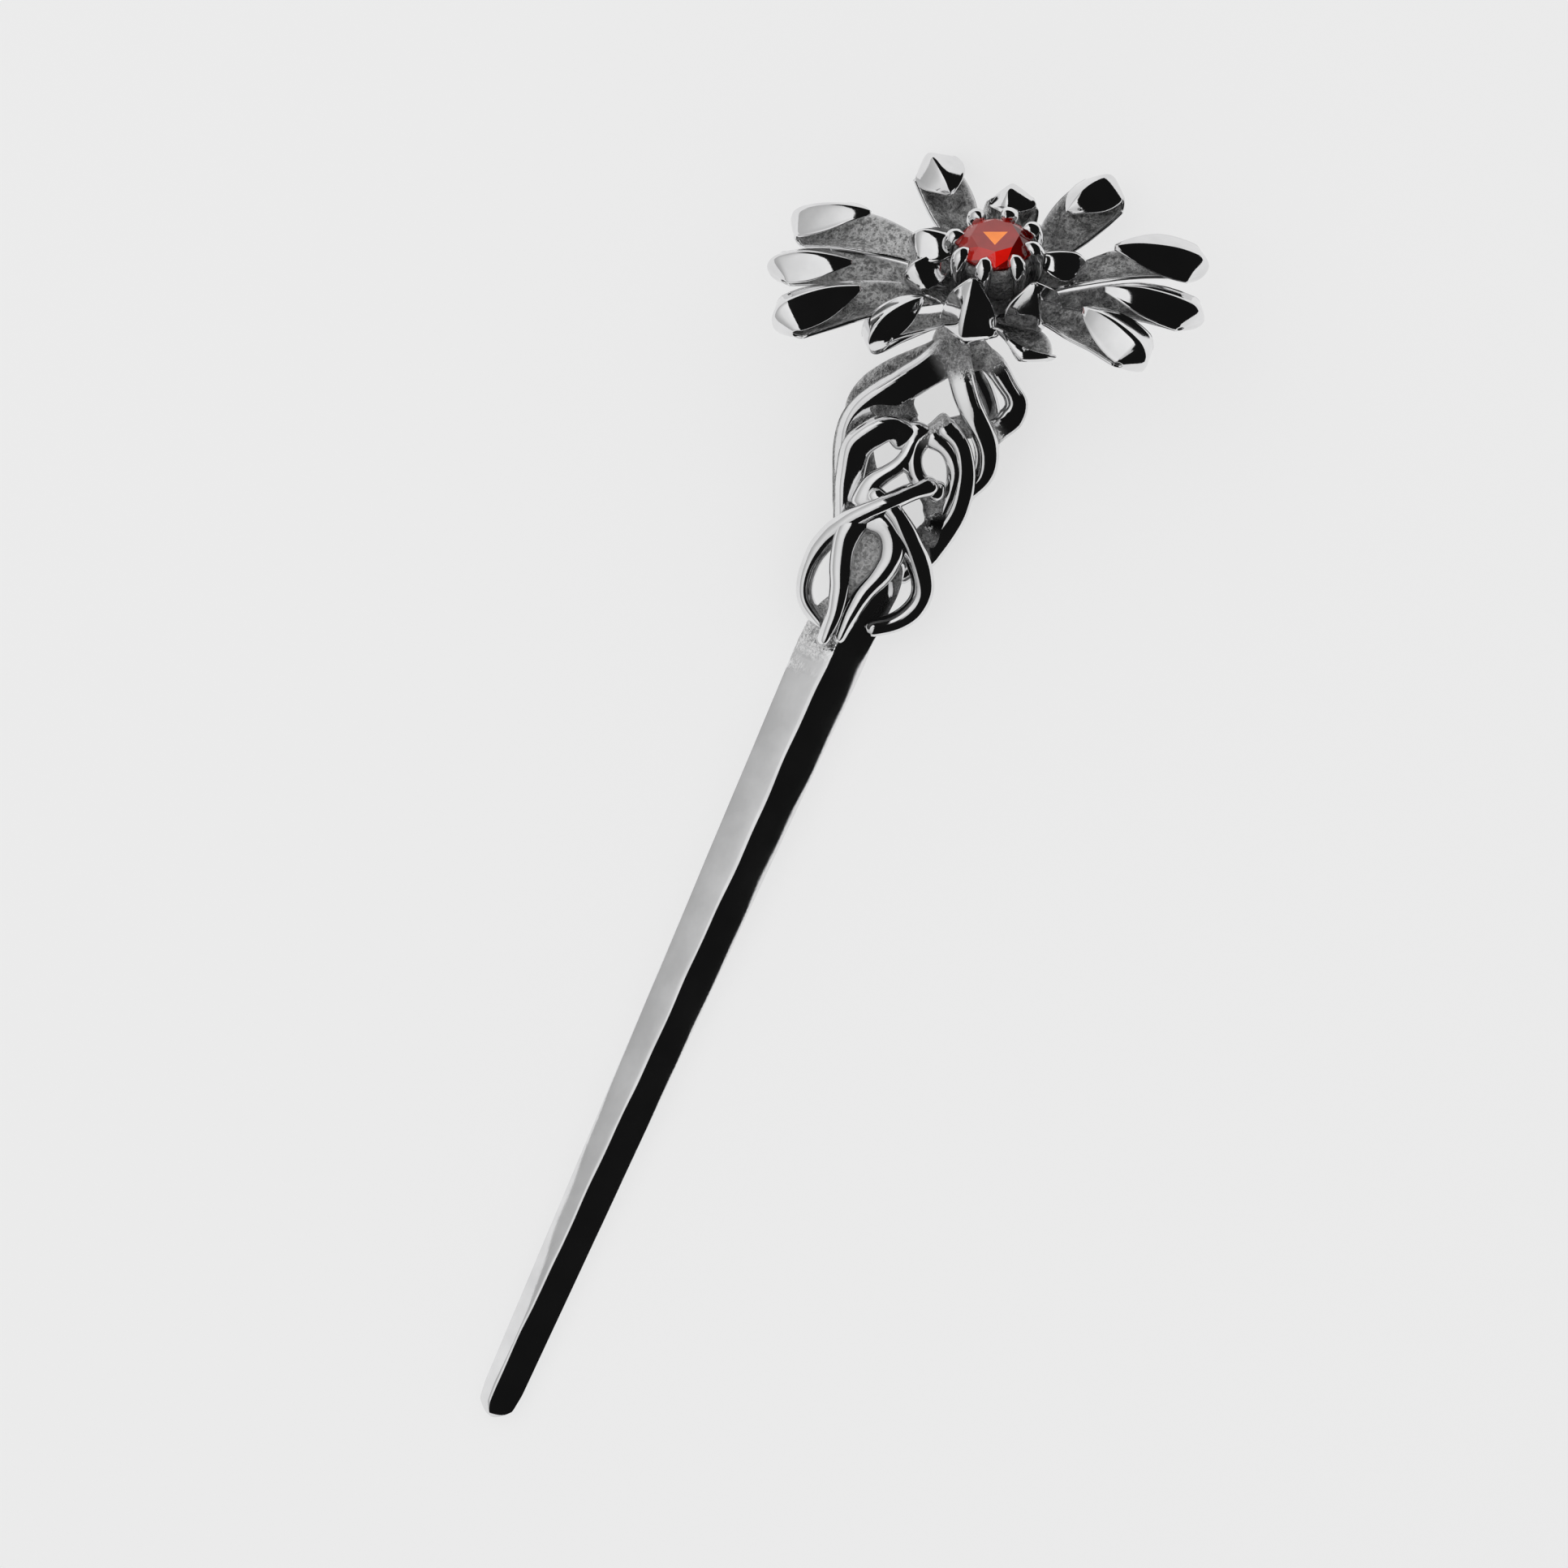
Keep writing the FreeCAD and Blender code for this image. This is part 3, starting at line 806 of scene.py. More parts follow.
# ---------------------------------------------------------------- vines
@dataclass
class Vine:
    """One soldered strand of the neck or the calyx, in the design frame.

    Its width and its lean are graphs by shares of its length. The lean turns its front face, in
    degrees: a face that leans left catches the light and one that leans right stays dark. Its flare
    and its grain are given at its two ends, and its coat is grain all over.
    """

    node: str
    width: Corners
    thickness: float
    points: list[Point]
    lean: Corners = field(default_factory=lambda: [(0.0, 0.0)])
    power: float = 2.6
    flare: tuple[float, float] = (1.15, 1.15)
    grain: tuple[float, float] = (0.0, 0.0)
    patina_and_shade: float = 0.0
    coat: float = 0.0
    joint: float = 2.2
    around: int = 36

    def seed(self) -> float:
        """Find where in the noise this strand reads, told by its name."""
        return sum(ord(letter) for letter in self.node) * 0.37

    def ring(self, path: SmoothPath, share: float, flare: float) -> list[Vector]:
        """Lay the strand's squared oval across its path.

        Args:
            path: the strand's middle line.
            share: where along it the ring stands.
            flare: how many times its own size it is there.

        Returns:
            The ring's points.
        """
        centre, along = path.point(share), path.along(share)
        side = along.cross(Vector((0.0, 0.0, 1.0))).normalized()
        front = side.cross(along).normalized()
        swell = 1.0 + 0.08 * noise.noise(centre * 0.4 + Vector((self.seed(), 0.0, 0.0)))
        turn = math.radians(graph(self.lean, share))
        ring = []
        for across, up in superellipse(self.around, self.power):
            flat = across * graph(self.width, share) / 2.0 * flare * swell
            tall = up * self.thickness / 2.0 * (0.5 + 0.5 * flare)
            ring.append(centre + side * (flat * math.cos(turn) - tall * math.sin(turn))
                        + front * (flat * math.sin(turn) + tall * math.cos(turn)))
        return ring

    def build(self) -> bpy.types.Object:
        """Sweep the strand along its path, flared where it joins its neighbours.

        Returns:
            The strand.
        """
        path = SmoothPath(self.points)
        length = float(path.at[-1])
        count = max(int(length * 4.0), 14)
        skin = Skin()
        for i in range(count + 1):
            share = i / count
            near_start = (1.0 - ease(0.0, self.joint / length, share)) ** 2
            near_end = ease(1.0 - self.joint / length, 1.0, share) ** 2
            sooty = 1.0 - ease(1.2 / length, 3.6 / length, share)
            flare = 1.0 + (self.flare[0] - 1.0) * near_start + (self.flare[1] - 1.0) * near_end
            joined = self.grain[0] * sooty + self.grain[1] * near_end
            grain = [max(joined, self.coat, 1.0 - ease(-0.55, -0.1, up))
                     for _, up in superellipse(self.around, self.power)]
            skin.add(self.ring(path, share, flare), grain, [max(self.patina_and_shade, 0.6 * g) for g in grain])
        self.round_end(skin, path, 0.0)
        self.round_end(skin, path, 1.0)
        skin.roughen(0.06, 0.45, self.seed())
        return skin.mesh("silver_" + self.node, REST)

    def round_end(self, skin: Skin, path: SmoothPath, share: float) -> None:
        """Close an end with a low dome of three rings.

        Args:
            skin: the strand's skin, which gains the rings.
            path: the strand's middle line.
            share: 0 for its start and 1 for its end.
        """
        first = share == 0.0
        along = path.along(share) * (-1.0 if first else 1.0)
        edge = 0 if first else -1
        last, grain = skin.rings[edge], skin.grain[edge]
        middle = sum(last, Vector()) / len(last)
        for step in (0.35, 0.65, 0.88):
            shrink = math.sqrt(1.0 - step ** 2)
            ring = [middle + (p - middle) * shrink + along * (step * self.thickness * 0.4) for p in last]
            where = 0 if first else len(skin.rings)
            skin.rings.insert(where, ring)
            skin.grain.insert(where, list(grain))
            skin.patina_and_shade.insert(where, [self.patina_and_shade] * len(ring))

    def dress(self, material: bpy.types.Material) -> None:
        """Build the strand and seat it."""
        place_piece(self.build(), self.node, material)


@dataclass
class Neck:
    """The openwork between the stick and the flower: the calyx leaf, its loops and the vines."""

    # Each strand: node, widths along it, thickness, middle line, lean, squareness, flares, and where
    # they are used its grain at the two ends, its patina and its all-over coat of grain.
    vines: list[Vine] = field(default_factory=lambda: [
        Vine("vine_front_left", [(0.0, 3.4), (0.25, 3.0), (0.6, 2.6), (1.0, 1.6)], 2.2,
             [(111.6, 0.9, 1.8), (109.1, 2.2, 3.0), (106.4, 4.0, 3.2), (103.9, 5.8, 2.6),
              (101.8, 6.8, 1.6), (99.2, 6.6, 0.6), (96.6, 5.7, -0.2), (93.4, 4.3, -0.9),
              (90.5, 2.2, -1.4)], [(0.0, 20.0), (0.3, 20.0), (0.5, 26.0), (1.0, 32.0)], 5.0,
             grain=(0.8, 0.0)),
        Vine("vine_cross_left", [(0.0, 2.4), (0.3, 2.8), (0.6, 2.3), (1.0, 1.8)], 2.3,
             [(101.9, 1.9, 3.3), (102.1, 3.5, 3.6), (100.9, 4.8, 3.4), (99.2, 5.7, 2.9),
              (96.9, 5.4, 2.3), (94.4, 4.7, 1.7), (92.0, 3.7, 0.9), (89.0, 1.8, -0.6)],
             [(0.0, 16.0), (0.4, 20.0), (1.0, 20.0)], 4.6, (1.2, 0.9)),
        Vine("vine_fork_web", [(0.0, 4.0), (0.35, 3.8), (0.55, 2.0), (1.0, 1.8)], 1.6,
             [(104.7, 4.8, 2.4), (103.5, 3.6, 3.0), (102.5, 2.1, 3.3), (102.8, 0.2, 3.4),
              (104.1, -1.3, 3.2), (105.3, -3.3, 3.0)],
             [(0.0, 14.0)], 2.2, (1.4, 1.3), (1.0, 1.0), 0.75),
        Vine("vine_ring", [(0.0, 2.0), (0.5, 1.6), (1.0, 1.8)], 1.9,
             [(104.1, -1.4, 3.4), (102.7, 0.0, 3.6), (101.0, 0.5, 3.7), (99.4, -0.1, 3.7),
              (98.4, -1.4, 3.6), (98.3, -3.0, 3.2)], [(0.0, 22.0)], 2.6, (1.6, 1.2), (0.4, 0.0)),
        Vine("vine_branch", [(0.0, 1.8), (0.3, 1.5), (0.6, 1.5), (0.85, 2.2), (1.0, 2.6)], 1.9,
             [(103.0, 1.0, 3.5), (100.9, 0.9, 3.8), (99.2, 1.3, 3.8), (97.6, 2.3, 3.6),
              (96.2, 3.0, 3.5), (94.6, 2.8, 3.3)], [(0.0, -14.0)], 2.2, (1.7, 1.1)),
        Vine("vine_small_branch", [(0.0, 0.9)], 1.3,
             [(99.5, 1.1, 3.7), (98.9, -0.2, 3.6), (98.3, -1.4, 3.7)], [(0.0, 0.0)], 2.0, (1.8, 1.5)),
        Vine("vine_arch", [(0.0, 1.6), (0.5, 1.7), (1.0, 1.0)], 1.8,
             [(102.8, -0.6, 3.6), (102.5, -1.9, 3.7), (101.4, -3.4, 3.3), (99.4, -4.2, 2.5),
              (96.9, -4.5, 1.6)], [(0.0, -22.0)], 2.4, (1.3, 1.0)),
        Vine("vine_centre_right", [(0.0, 1.6), (0.25, 1.9), (0.55, 2.3), (0.8, 2.6), (1.0, 1.8)], 2.3,
             [(104.0, -1.5, 3.5), (103.4, -2.8, 3.7), (101.9, -4.2, 3.1), (100.0, -5.0, 2.3),
              (97.6, -5.4, 1.4), (95.0, -5.1, 0.4), (92.5, -4.4, -0.6), (89.9, -3.2, -1.6)],
             [(0.0, 12.0), (0.5, 18.0)], 3.6, (1.3, 0.9)),
        Vine("vine_bridge", [(0.0, 1.8), (0.4, 2.8), (1.0, 2.2)], 1.4,
             [(98.2, -1.9, 3.2), (97.2, -3.3, 2.2), (95.6, -4.2, 1.4), (93.8, -3.9, 0.6)], [(0.0, 6.0)],
             2.2, (1.2, 1.2), (1.0, 1.0), 0.7),
        Vine("vine_front_right", [(0.0, 2.6), (0.3, 2.6), (0.6, 2.3), (1.0, 1.8)], 2.2,
             [(111.4, 0.8, 2.4), (109.6, -0.4, 3.3), (107.7, -1.9, 3.5), (106.0, -3.7, 3.3),
              (104.5, -5.3, 2.7), (102.8, -6.2, 2.0), (101.1, -6.3, 1.4), (99.6, -5.5, 1.0)],
             [(0.0, -20.0), (0.4, -14.0), (0.55, 8.0), (0.7, 20.0)], 2.8,
             grain=(0.8, 0.0)),
        Vine("vine_side_right", [(0.0, 2.4), (0.5, 1.7), (0.75, 2.5), (1.0, 1.8)], 2.2,
             [(111.7, -0.6, 1.4), (111.7, -2.8, 1.3), (110.5, -4.8, 1.1), (108.9, -6.6, 0.8),
              (107.1, -6.4, 0.8), (105.2, -5.2, 1.2)], [(0.0, 8.0), (1.0, 16.0)], 3.2,
             (1.8, 1.3), (1.0, 0.6), 0.15),
        Vine("vine_back_left", [(0.0, 2.6), (0.35, 2.8), (0.6, 2.2), (1.0, 1.8)], 1.9,
             [(111.2, 1.6, 1.0), (109.1, 3.6, 0.6), (107.1, 5.4, 0.2), (105.1, 6.7, -0.4),
              (102.8, 7.0, -1.0), (100.3, 6.1, -1.6), (97.4, 4.1, -2.2), (93.6, 1.1, -2.5),
              (85.6, -1.1, -2.2)], [(0.0, 6.0)], 3.2, (1.2, 0.8), (1.0, 0.0), 0.35, 0.85),
        Vine("vine_back_right", [(0.0, 2.0)], 1.9,
             [(110.8, -1.0, -0.6), (108.4, -3.8, -1.8), (104.6, -5.8, -2.4), (99.5, -5.6, -2.6),
              (93.5, -3.8, -2.5), (87.0, -1.6, -2.3)], [(0.0, 0.0)], 2.4, (1.3, 0.8)),
        Vine("calyx_left_loop", [(0.0, 1.7), (0.3, 2.0), (0.5, 2.2), (0.75, 1.8), (1.0, 1.5)], 2.4,
             [(98.4, -2.0, 3.8), (96.9, -0.5, 4.3), (95.1, 1.1, 4.5), (93.1, 2.9, 3.9),
              (90.8, 4.4, 2.8), (88.2, 5.2, 1.6), (85.7, 5.1, 0.8), (83.8, 4.3, 0.4),
              (82.4, 2.1, 0.4)], [(0.0, 26.0), (0.12, 18.0), (0.3, -6.0), (1.0, -6.0)], 1.8,
             (1.2, 1.0)),
        Vine("calyx_right_loop", [(0.0, 1.8), (0.3, 2.1), (0.6, 2.2), (1.0, 1.7)], 2.4,
             [(95.5, 2.1, 3.9), (94.8, 0.1, 4.2), (93.5, -1.8, 3.8), (92.0, -3.5, 2.8),
              (90.4, -4.9, 1.8), (88.5, -5.7, 1.0), (86.6, -5.3, 0.6), (84.9, -4.0, 0.4),
              (84.0, -2.7, 0.4)], [(0.0, 8.0), (0.5, 16.0)], 2.6, (1.0, 1.0)),
        Vine("calyx_rim_left", [(0.0, 2.8), (0.15, 2.8), (0.35, 2.3), (0.7, 1.9), (1.0, 1.2)], 2.2,
             [(94.1, 1.9, 3.2), (92.3, 2.9, 3.6), (90.0, 3.0, 3.6), (87.5, 2.3, 3.4),
              (85.1, 1.5, 3.2), (82.9, 1.2, 3.1), (81.2, 1.2, 2.9)],
             [(0.0, 24.0), (0.2, 12.0), (0.5, 16.0)], 2.0, (1.0, 1.0)),
        Vine("calyx_rim_right", [(0.0, 3.8), (0.2, 3.2), (0.4, 2.2), (0.7, 1.9), (1.0, 1.3)], 2.2,
             [(94.0, 1.8, 3.2), (93.6, 0.0, 3.6), (91.9, -1.3, 3.6), (89.5, -1.5, 3.4),
              (86.7, -0.6, 3.2), (84.2, -0.2, 3.1), (82.0, -0.1, 2.9)], [(0.0, 24.0), (0.2, 12.0)], 1.7,
             (1.0, 1.0)),
    ])
    floor_level: float = 3.05
    floor_thickness: float = 0.7
    floor_dish: float = 0.35
    floor_reach: tuple[float, float] = (0.02, 0.82)
    floor_steps: tuple[int, int] = (30, 12)
    hub_centre: Point = (112.4, 0.9, 0.9)
    hub_radii: Point = (2.99, 2.47, 2.08)
    hub_steps: tuple[int, int] = (32, 40)
    stem_points: list[Point] = field(default_factory=lambda: [
        (112.6, 0.9, 0.9), (114.8, 0.5, 1.8), (117.1, -0.6, 3.0)])

    def leaf_floor(self) -> bpy.types.Object:
        """Dish the grained floor of the calyx leaf between its rims.

        Returns:
            The floor.
        """
        rims = {vine.node: SmoothPath(vine.points) for vine in self.vines
                if vine.node.startswith("calyx_rim")}
        rows, columns = self.floor_steps
        first, last = self.floor_reach
        arches = [math.sin(math.pi * k / columns) for k in range(columns + 1)]
        skin = Skin()
        for i in range(rows + 1):
            share = first + (last - first) * i / rows
            start, end = rims["calyx_rim_left"].point(share), rims["calyx_rim_right"].point(share)
            top = []
            for k, arch in enumerate(arches):
                spot = start.lerp(end, k / columns)
                top.append(Vector((spot.x, spot.y, self.floor_level - self.floor_dish * arch)))
            bottom = self.floor_level - self.floor_thickness
            below = [Vector((p.x, p.y, bottom)) for p in reversed(top)]
            # Painted shade: the floor darkens towards the rims that wall it in, and is dark underneath.
            dark = [0.55 * (1.0 - arch) for arch in arches] + [0.6] * len(below)
            skin.add(top + below, [1.0] * len(dark), dark)
        return skin.mesh("grained_leaf_floor", REST)

    def hub(self) -> bpy.types.Object:
        """Make the knot where the vines gather, lumpy from the torch.

        Returns:
            The hub.
        """
        skin = Skin()
        centre = Vector(self.hub_centre)
        rows, around = self.hub_steps
        for i in range(1, rows):
            angle = math.pi * i / rows
            ring = []
            for k in range(around):
                turn = 2.0 * math.pi * k / around
                way = Vector((-math.cos(angle), math.sin(angle) * math.cos(turn),
                              math.sin(angle) * math.sin(turn)))
                lump = 1.0 + 0.10 * noise.noise(way * 2.3)
                ring.append(centre + Vector(w * r for w, r in zip(way, self.hub_radii)) * lump)
            skin.add(ring, [0.7] * around, [0.6] * around)
        return skin.mesh("silver_neck_hub", REST)

    def dress(self, polished: bpy.types.Material, matte: bpy.types.Material) -> None:
        """Build and seat every strand, the leaf's floor, the hub and the stem.

        Args:
            polished: the finish of the strands and the hub.
            matte: the finish of the leaf's floor.
        """
        for vine in self.vines:
            vine.dress(polished)
        stem = Vine("flower_stem", [(0.0, 3.6)], 3.6, self.stem_points, power=2.0, flare=(1.0, 1.4),
                    grain=(1.0, 1.0), patina_and_shade=0.4)
        stem.dress(polished)
        place_piece(self.leaf_floor(), "calyx_floor", matte)
        place_piece(self.hub(), "neck_hub", polished)


# ---------------------------------------------------------------- petals
PETAL_OUTLINE = [(0.0, 0.34), (0.3, 0.6), (0.6, 0.92), (0.8, 0.99), (1.0, 0.94), (1.5, 0.68),
                 (2.0, 0.86), (2.4, 0.82), (2.75, 0.48), (3.0, 0.05)]


def petal_widths() -> Corners:
    """Smooth the petal's outline.

    Returns:
        Its share of the full width at many stations along it.
    """
    outline = SmoothPath([(station, share, 0.0) for station, share in PETAL_OUTLINE])
    return [(p.x, p.y) for p in (outline.point(i / 200) for i in range(201))]


PETAL_WIDTHS = petal_widths()


@dataclass
class Petal:
    """A gutter-shaped petal with a keel down its outside, folded over into a pointed cap.

    Its stations run from 0 at the root to 1 where the fold starts, 2 where the cap starts and 3 at
    the point. Angles are in degrees.

    Attributes:
        node: the CAD node.
        turn: the way that it points, round the flower.
        length: how long the gutter is before the fold.
        rise: how steeply it leaves the root.
        lift: how steeply it runs just before the fold.
        curl: how far the fold turns over.
        cap: how long the folded cap is.
        droop: how far the cap turns on after the fold.
        width: its full width.
        base: how high its root is.
        twist: its twist about its own length.
        sway: its sideways shift after the gutter and at the point.
        painted_shade: how dark its sandy face is painted, a painted shade that is heavier on the petals
            turned away from the soft light.
        bend: the fold's radius.
    """

    node: str
    turn: float
    length: float
    rise: float
    lift: float
    curl: float
    cap: float
    droop: float
    width: float
    base: float
    twist: float
    sway: tuple[float, float]
    painted_shade: float
    bend: float
    keel: tuple[float, float] = (0.9, 1.35)
    cup: float = 1.0
    rim: float = 0.34
    root_radius: float = 3.9
    # Painted shade that darkens the sandy faces towards the root, where the petals crowd together.
    root_painted_shade: float = 0.45
    across: int = 17
    steps: tuple[int, int, int] = (34, 26, 24)

    def line(self) -> list[tuple[float, float, float, float]]:
        """Follow the petal's middle from root to point.

        Returns:
            The distance out, the height, the slope and the station of each cross-section.
        """
        lengths = (self.length, self.bend * math.radians(self.curl), self.cap)
        slopes = (self.rise, self.lift, self.lift + self.curl)
        changes = (self.lift - self.rise, self.curl, self.droop)
        out, height, points = 0.0, 0.0, [(0.0, 0.0, self.rise, 0.0)]
        for stage, (length, steps, slope, change) in enumerate(zip(lengths, self.steps, slopes, changes)):
            for i in range(steps):
                middle = math.radians(slope + change * (i + 0.5) / steps)
                out += length / steps * math.cos(middle)
                height += length / steps * math.sin(middle)
                points.append((out, height, slope + change * (i + 1) / steps,
                               stage + (i + 1) / steps))
        return points

    def edge(self, side: float, half: float, lip: float) -> list[tuple[float, float, float]]:
        """Round one rim.

        Args:
            side: -1 for the rim where the hollow face ends and 1 for the one where it starts.
            half: half the width here.
            lip: the height of the rim's top.

        Returns:
            (across, up, grain) of the rim's three points.
        """
        points = []
        for degrees in (45.0, 90.0, 135.0):
            bulge = math.sin(math.radians(degrees)) * self.rim * 0.5
            drop = self.rim * (1.0 - math.cos(math.radians(degrees))) / 2.0
            points.append((side * (half + bulge), lip - (drop if side < 0 else self.rim - drop), 0.0))
        return points

    def section(self, fullness: float, station: float) -> list[tuple[float, float, float]]:
        """Draw one cross-section.

        Args:
            fullness: the width here as a share of the petal's full width.
            station: where along the petal it stands.

        Returns:
            (across, up, grain) round the section: the hollow inner face, a rounded rim, the keeled
            outer face and the other rim, in millimetres.
        """
        half = self.width / 2.0 * fullness
        cup = self.cup * fullness ** 2
        body, cap = self.keel
        thick = (body + (cap - body) * ease(0.7, 1.4, station)) * (0.35 + 0.65 * fullness)
        shares = [1.0 - 2.0 * i / (self.across - 1) for i in range(self.across)]
        hollow = [(half * u, cup * abs(u) ** 1.7, 1.0 - ease(0.82, 0.97, abs(u))) for u in shares]
        wall = cup - self.rim + thick
        keeled = [(-half * u, -thick + wall * math.sqrt(u * u + 0.006) ** 1.15, 0.0) for u in shares]
        return hollow + self.edge(-1.0, half, cup) + keeled + self.edge(1.0, half, cup)

    def stand(self, out: float, height: float, slope: float,
              station: float) -> tuple[Vector, Vector, Vector]:
        """Find where a cross-section stands in the flower.

        Args:
            out: how far out from the root it is.
            height: how far up from the root it is.
            slope: how steeply the petal runs there.
            station: where along the petal it is.

        Returns:
            Its middle, its sideways direction and the direction that its hollow face looks in.
        """
        out_way, side_way, up_way = spoke(self.turn), spoke(self.turn + 90.0), Vector((0.0, 0.0, 1.0))
        sway = self.sway[0] * ease(0.3, 1.2, station)
        sway += (self.sway[1] - self.sway[0]) * min(max((station - 1.5) / 1.5, 0.0), 1.0)
        middle = (out_way * (self.root_radius + out) + up_way * (height + self.base)
                  + side_way * sway)
        angle, twist = math.radians(slope), math.radians(self.twist) * min(station, 1.0)
        look = out_way * -math.sin(angle) + up_way * math.cos(angle)
        side = side_way * math.cos(twist) + look * math.sin(twist)
        return middle, side, look * math.cos(twist) - side_way * math.sin(twist)

    def build(self) -> bpy.types.Object:
        """Skin the petal and place it in the flower.

        Returns:
            The petal.
        """
        skin = Skin()
        for out, height, slope, station in self.line():
            section = self.section(max(graph(PETAL_WIDTHS, station), THINNEST), station)
            middle, side, look = self.stand(out, height, slope, station)
            # Painted shade: darker towards the root, and darker again by the petal's own painted shade on
            # its sandy face.
            deep = (1.0 - ease(0.0, 0.3, station)) * self.root_painted_shade
            grain = [sand for _, _, sand in section]
            skin.add([middle + side * across + look * up for across, up, _ in section], grain,
                     [max(deep * (0.4 + 0.6 * sand), self.painted_shade * sand) for sand in grain])
        skin.roughen(0.09, 0.3, self.turn * 0.11)
        return skin.mesh("silver_" + self.node, FLOWER)

    def dress(self, material: bpy.types.Material) -> None:
        """Build the petal and seat it."""
        place_piece(self.build(), self.node, material)


OUTER_BEND = 1.1
# Each row: turn, length, rise, lift, curl, cap, droop, width, base, twist, sway and painted shade.
OUTER_ROWS = [
    (0, 14.6, 30, -16, 165, 8.0, 28, 5.2, 0.1, -14, (0.6, -0.8), 0.5),
    (44, 11.0, 14, 12, 165, 4.6, 28, 5.6, -0.2, 6, (0.0, 0.0), 0.45),
    (113, 10.8, 14, 14, 165, 3.8, 32, 5.2, -0.3, 12, (0.0, 0.0), 0.55),
    (160, 14.6, 20, -18, 165, 7.0, 28, 5.4, 1.4, -4, (0.0, 0.0), 0.0),
    (181, 15.7, 16, -10, 165, 6.6, 28, 4.9, 0.8, 0, (-1.0, 1.4), 0.15),
    (200, 16.6, 18, -10, 176, 7.2, 24, 5.7, 0.8, 0, (0.0, 0.0), 0.4),
    (217, 9.8, 12, 6, 150, 5.4, 28, 3.7, -0.8, 22, (0.0, 0.0), 0.15),
    (287, 5.0, 0, 8, 62, 0.5, 4, 6.2, -0.2, -40, (0.0, 0.0), 0.6),
    (316, 14.0, 18, -2, 165, 6.6, 28, 5.2, 0.4, -6, (0.0, 0.0), 0.45),
    (341, 15.0, 24, -10, 165, 8.0, 28, 5.2, -0.5, -4, (0.6, -1.6), 0.72),
]
INNER_BEND = 0.935
# The painted shade on every inner petal's sandy face, the same for each.
INNER_PAINTED_SHADE = 0.4
# Each row: the same, but with no painted shade of its own.
INNER_ROWS = [
    (0, 3.6, 15, 20, 150, 3.4, 20, 4.6, 0.9, 0, (0.0, 0.0)),
    (78, 5.2, 20, 30, 155, 1.9, 30, 5.0, 1.0, 8, (0.0, 0.0)),
    (163, 3.8, 25, 35, 140, 3.8, 20, 5.2, 1.3, 0, (0.0, 0.0)),
    (200, 3.4, 10, 20, 150, 4.2, 15, 5.0, 0.6, 0, (-1.6, -2.6)),
    (246, 2.2, -10, 0, 105, 5.4, 15, 6.0, -0.2, 0, (0.0, 0.0)),
    (290, 2.0, 0, 10, 85, 4.2, 10, 6.2, 0.4, 0, (1.7, 1.6)),
]


@dataclass
class Corolla:
    """The two rings of petals."""

    outer: list[Petal] = field(default_factory=lambda: [
        Petal(f"outer_petal_{i:02d}", *row, OUTER_BEND) for i, row in enumerate(OUTER_ROWS, 1)])
    inner: list[Petal] = field(default_factory=lambda: [
        Petal(f"inner_petal_{i:02d}", *row, INNER_PAINTED_SHADE, INNER_BEND)
        for i, row in enumerate(INNER_ROWS, 1)])

    def dress(self, material: bpy.types.Material) -> None:
        """Build and seat every petal."""
        for petal in self.outer + self.inner:
            petal.dress(material)


# ---------------------------------------------------------------- setting
@dataclass
class Facets:
    """Flat faces, each with its own corners, so that its edges stay crisp, and its own painted light."""

    corners: list[Vector] = field(default_factory=list)
    faces: list[tuple[int, ...]] = field(default_factory=list)
    painted_lights: list[float] = field(default_factory=list)

    def add(self, painted_light: float, *corners: Vector) -> None:
        """Add one facet.

        Args:
            painted_light: how brightly it is painted to glow, from 0 to 1.
            corners: its corners in order.
        """
        start = len(self.corners)
        self.corners.extend(corners)
        self.faces.append(tuple(range(start, start + len(corners))))
        self.painted_lights.extend([painted_light] * len(corners))


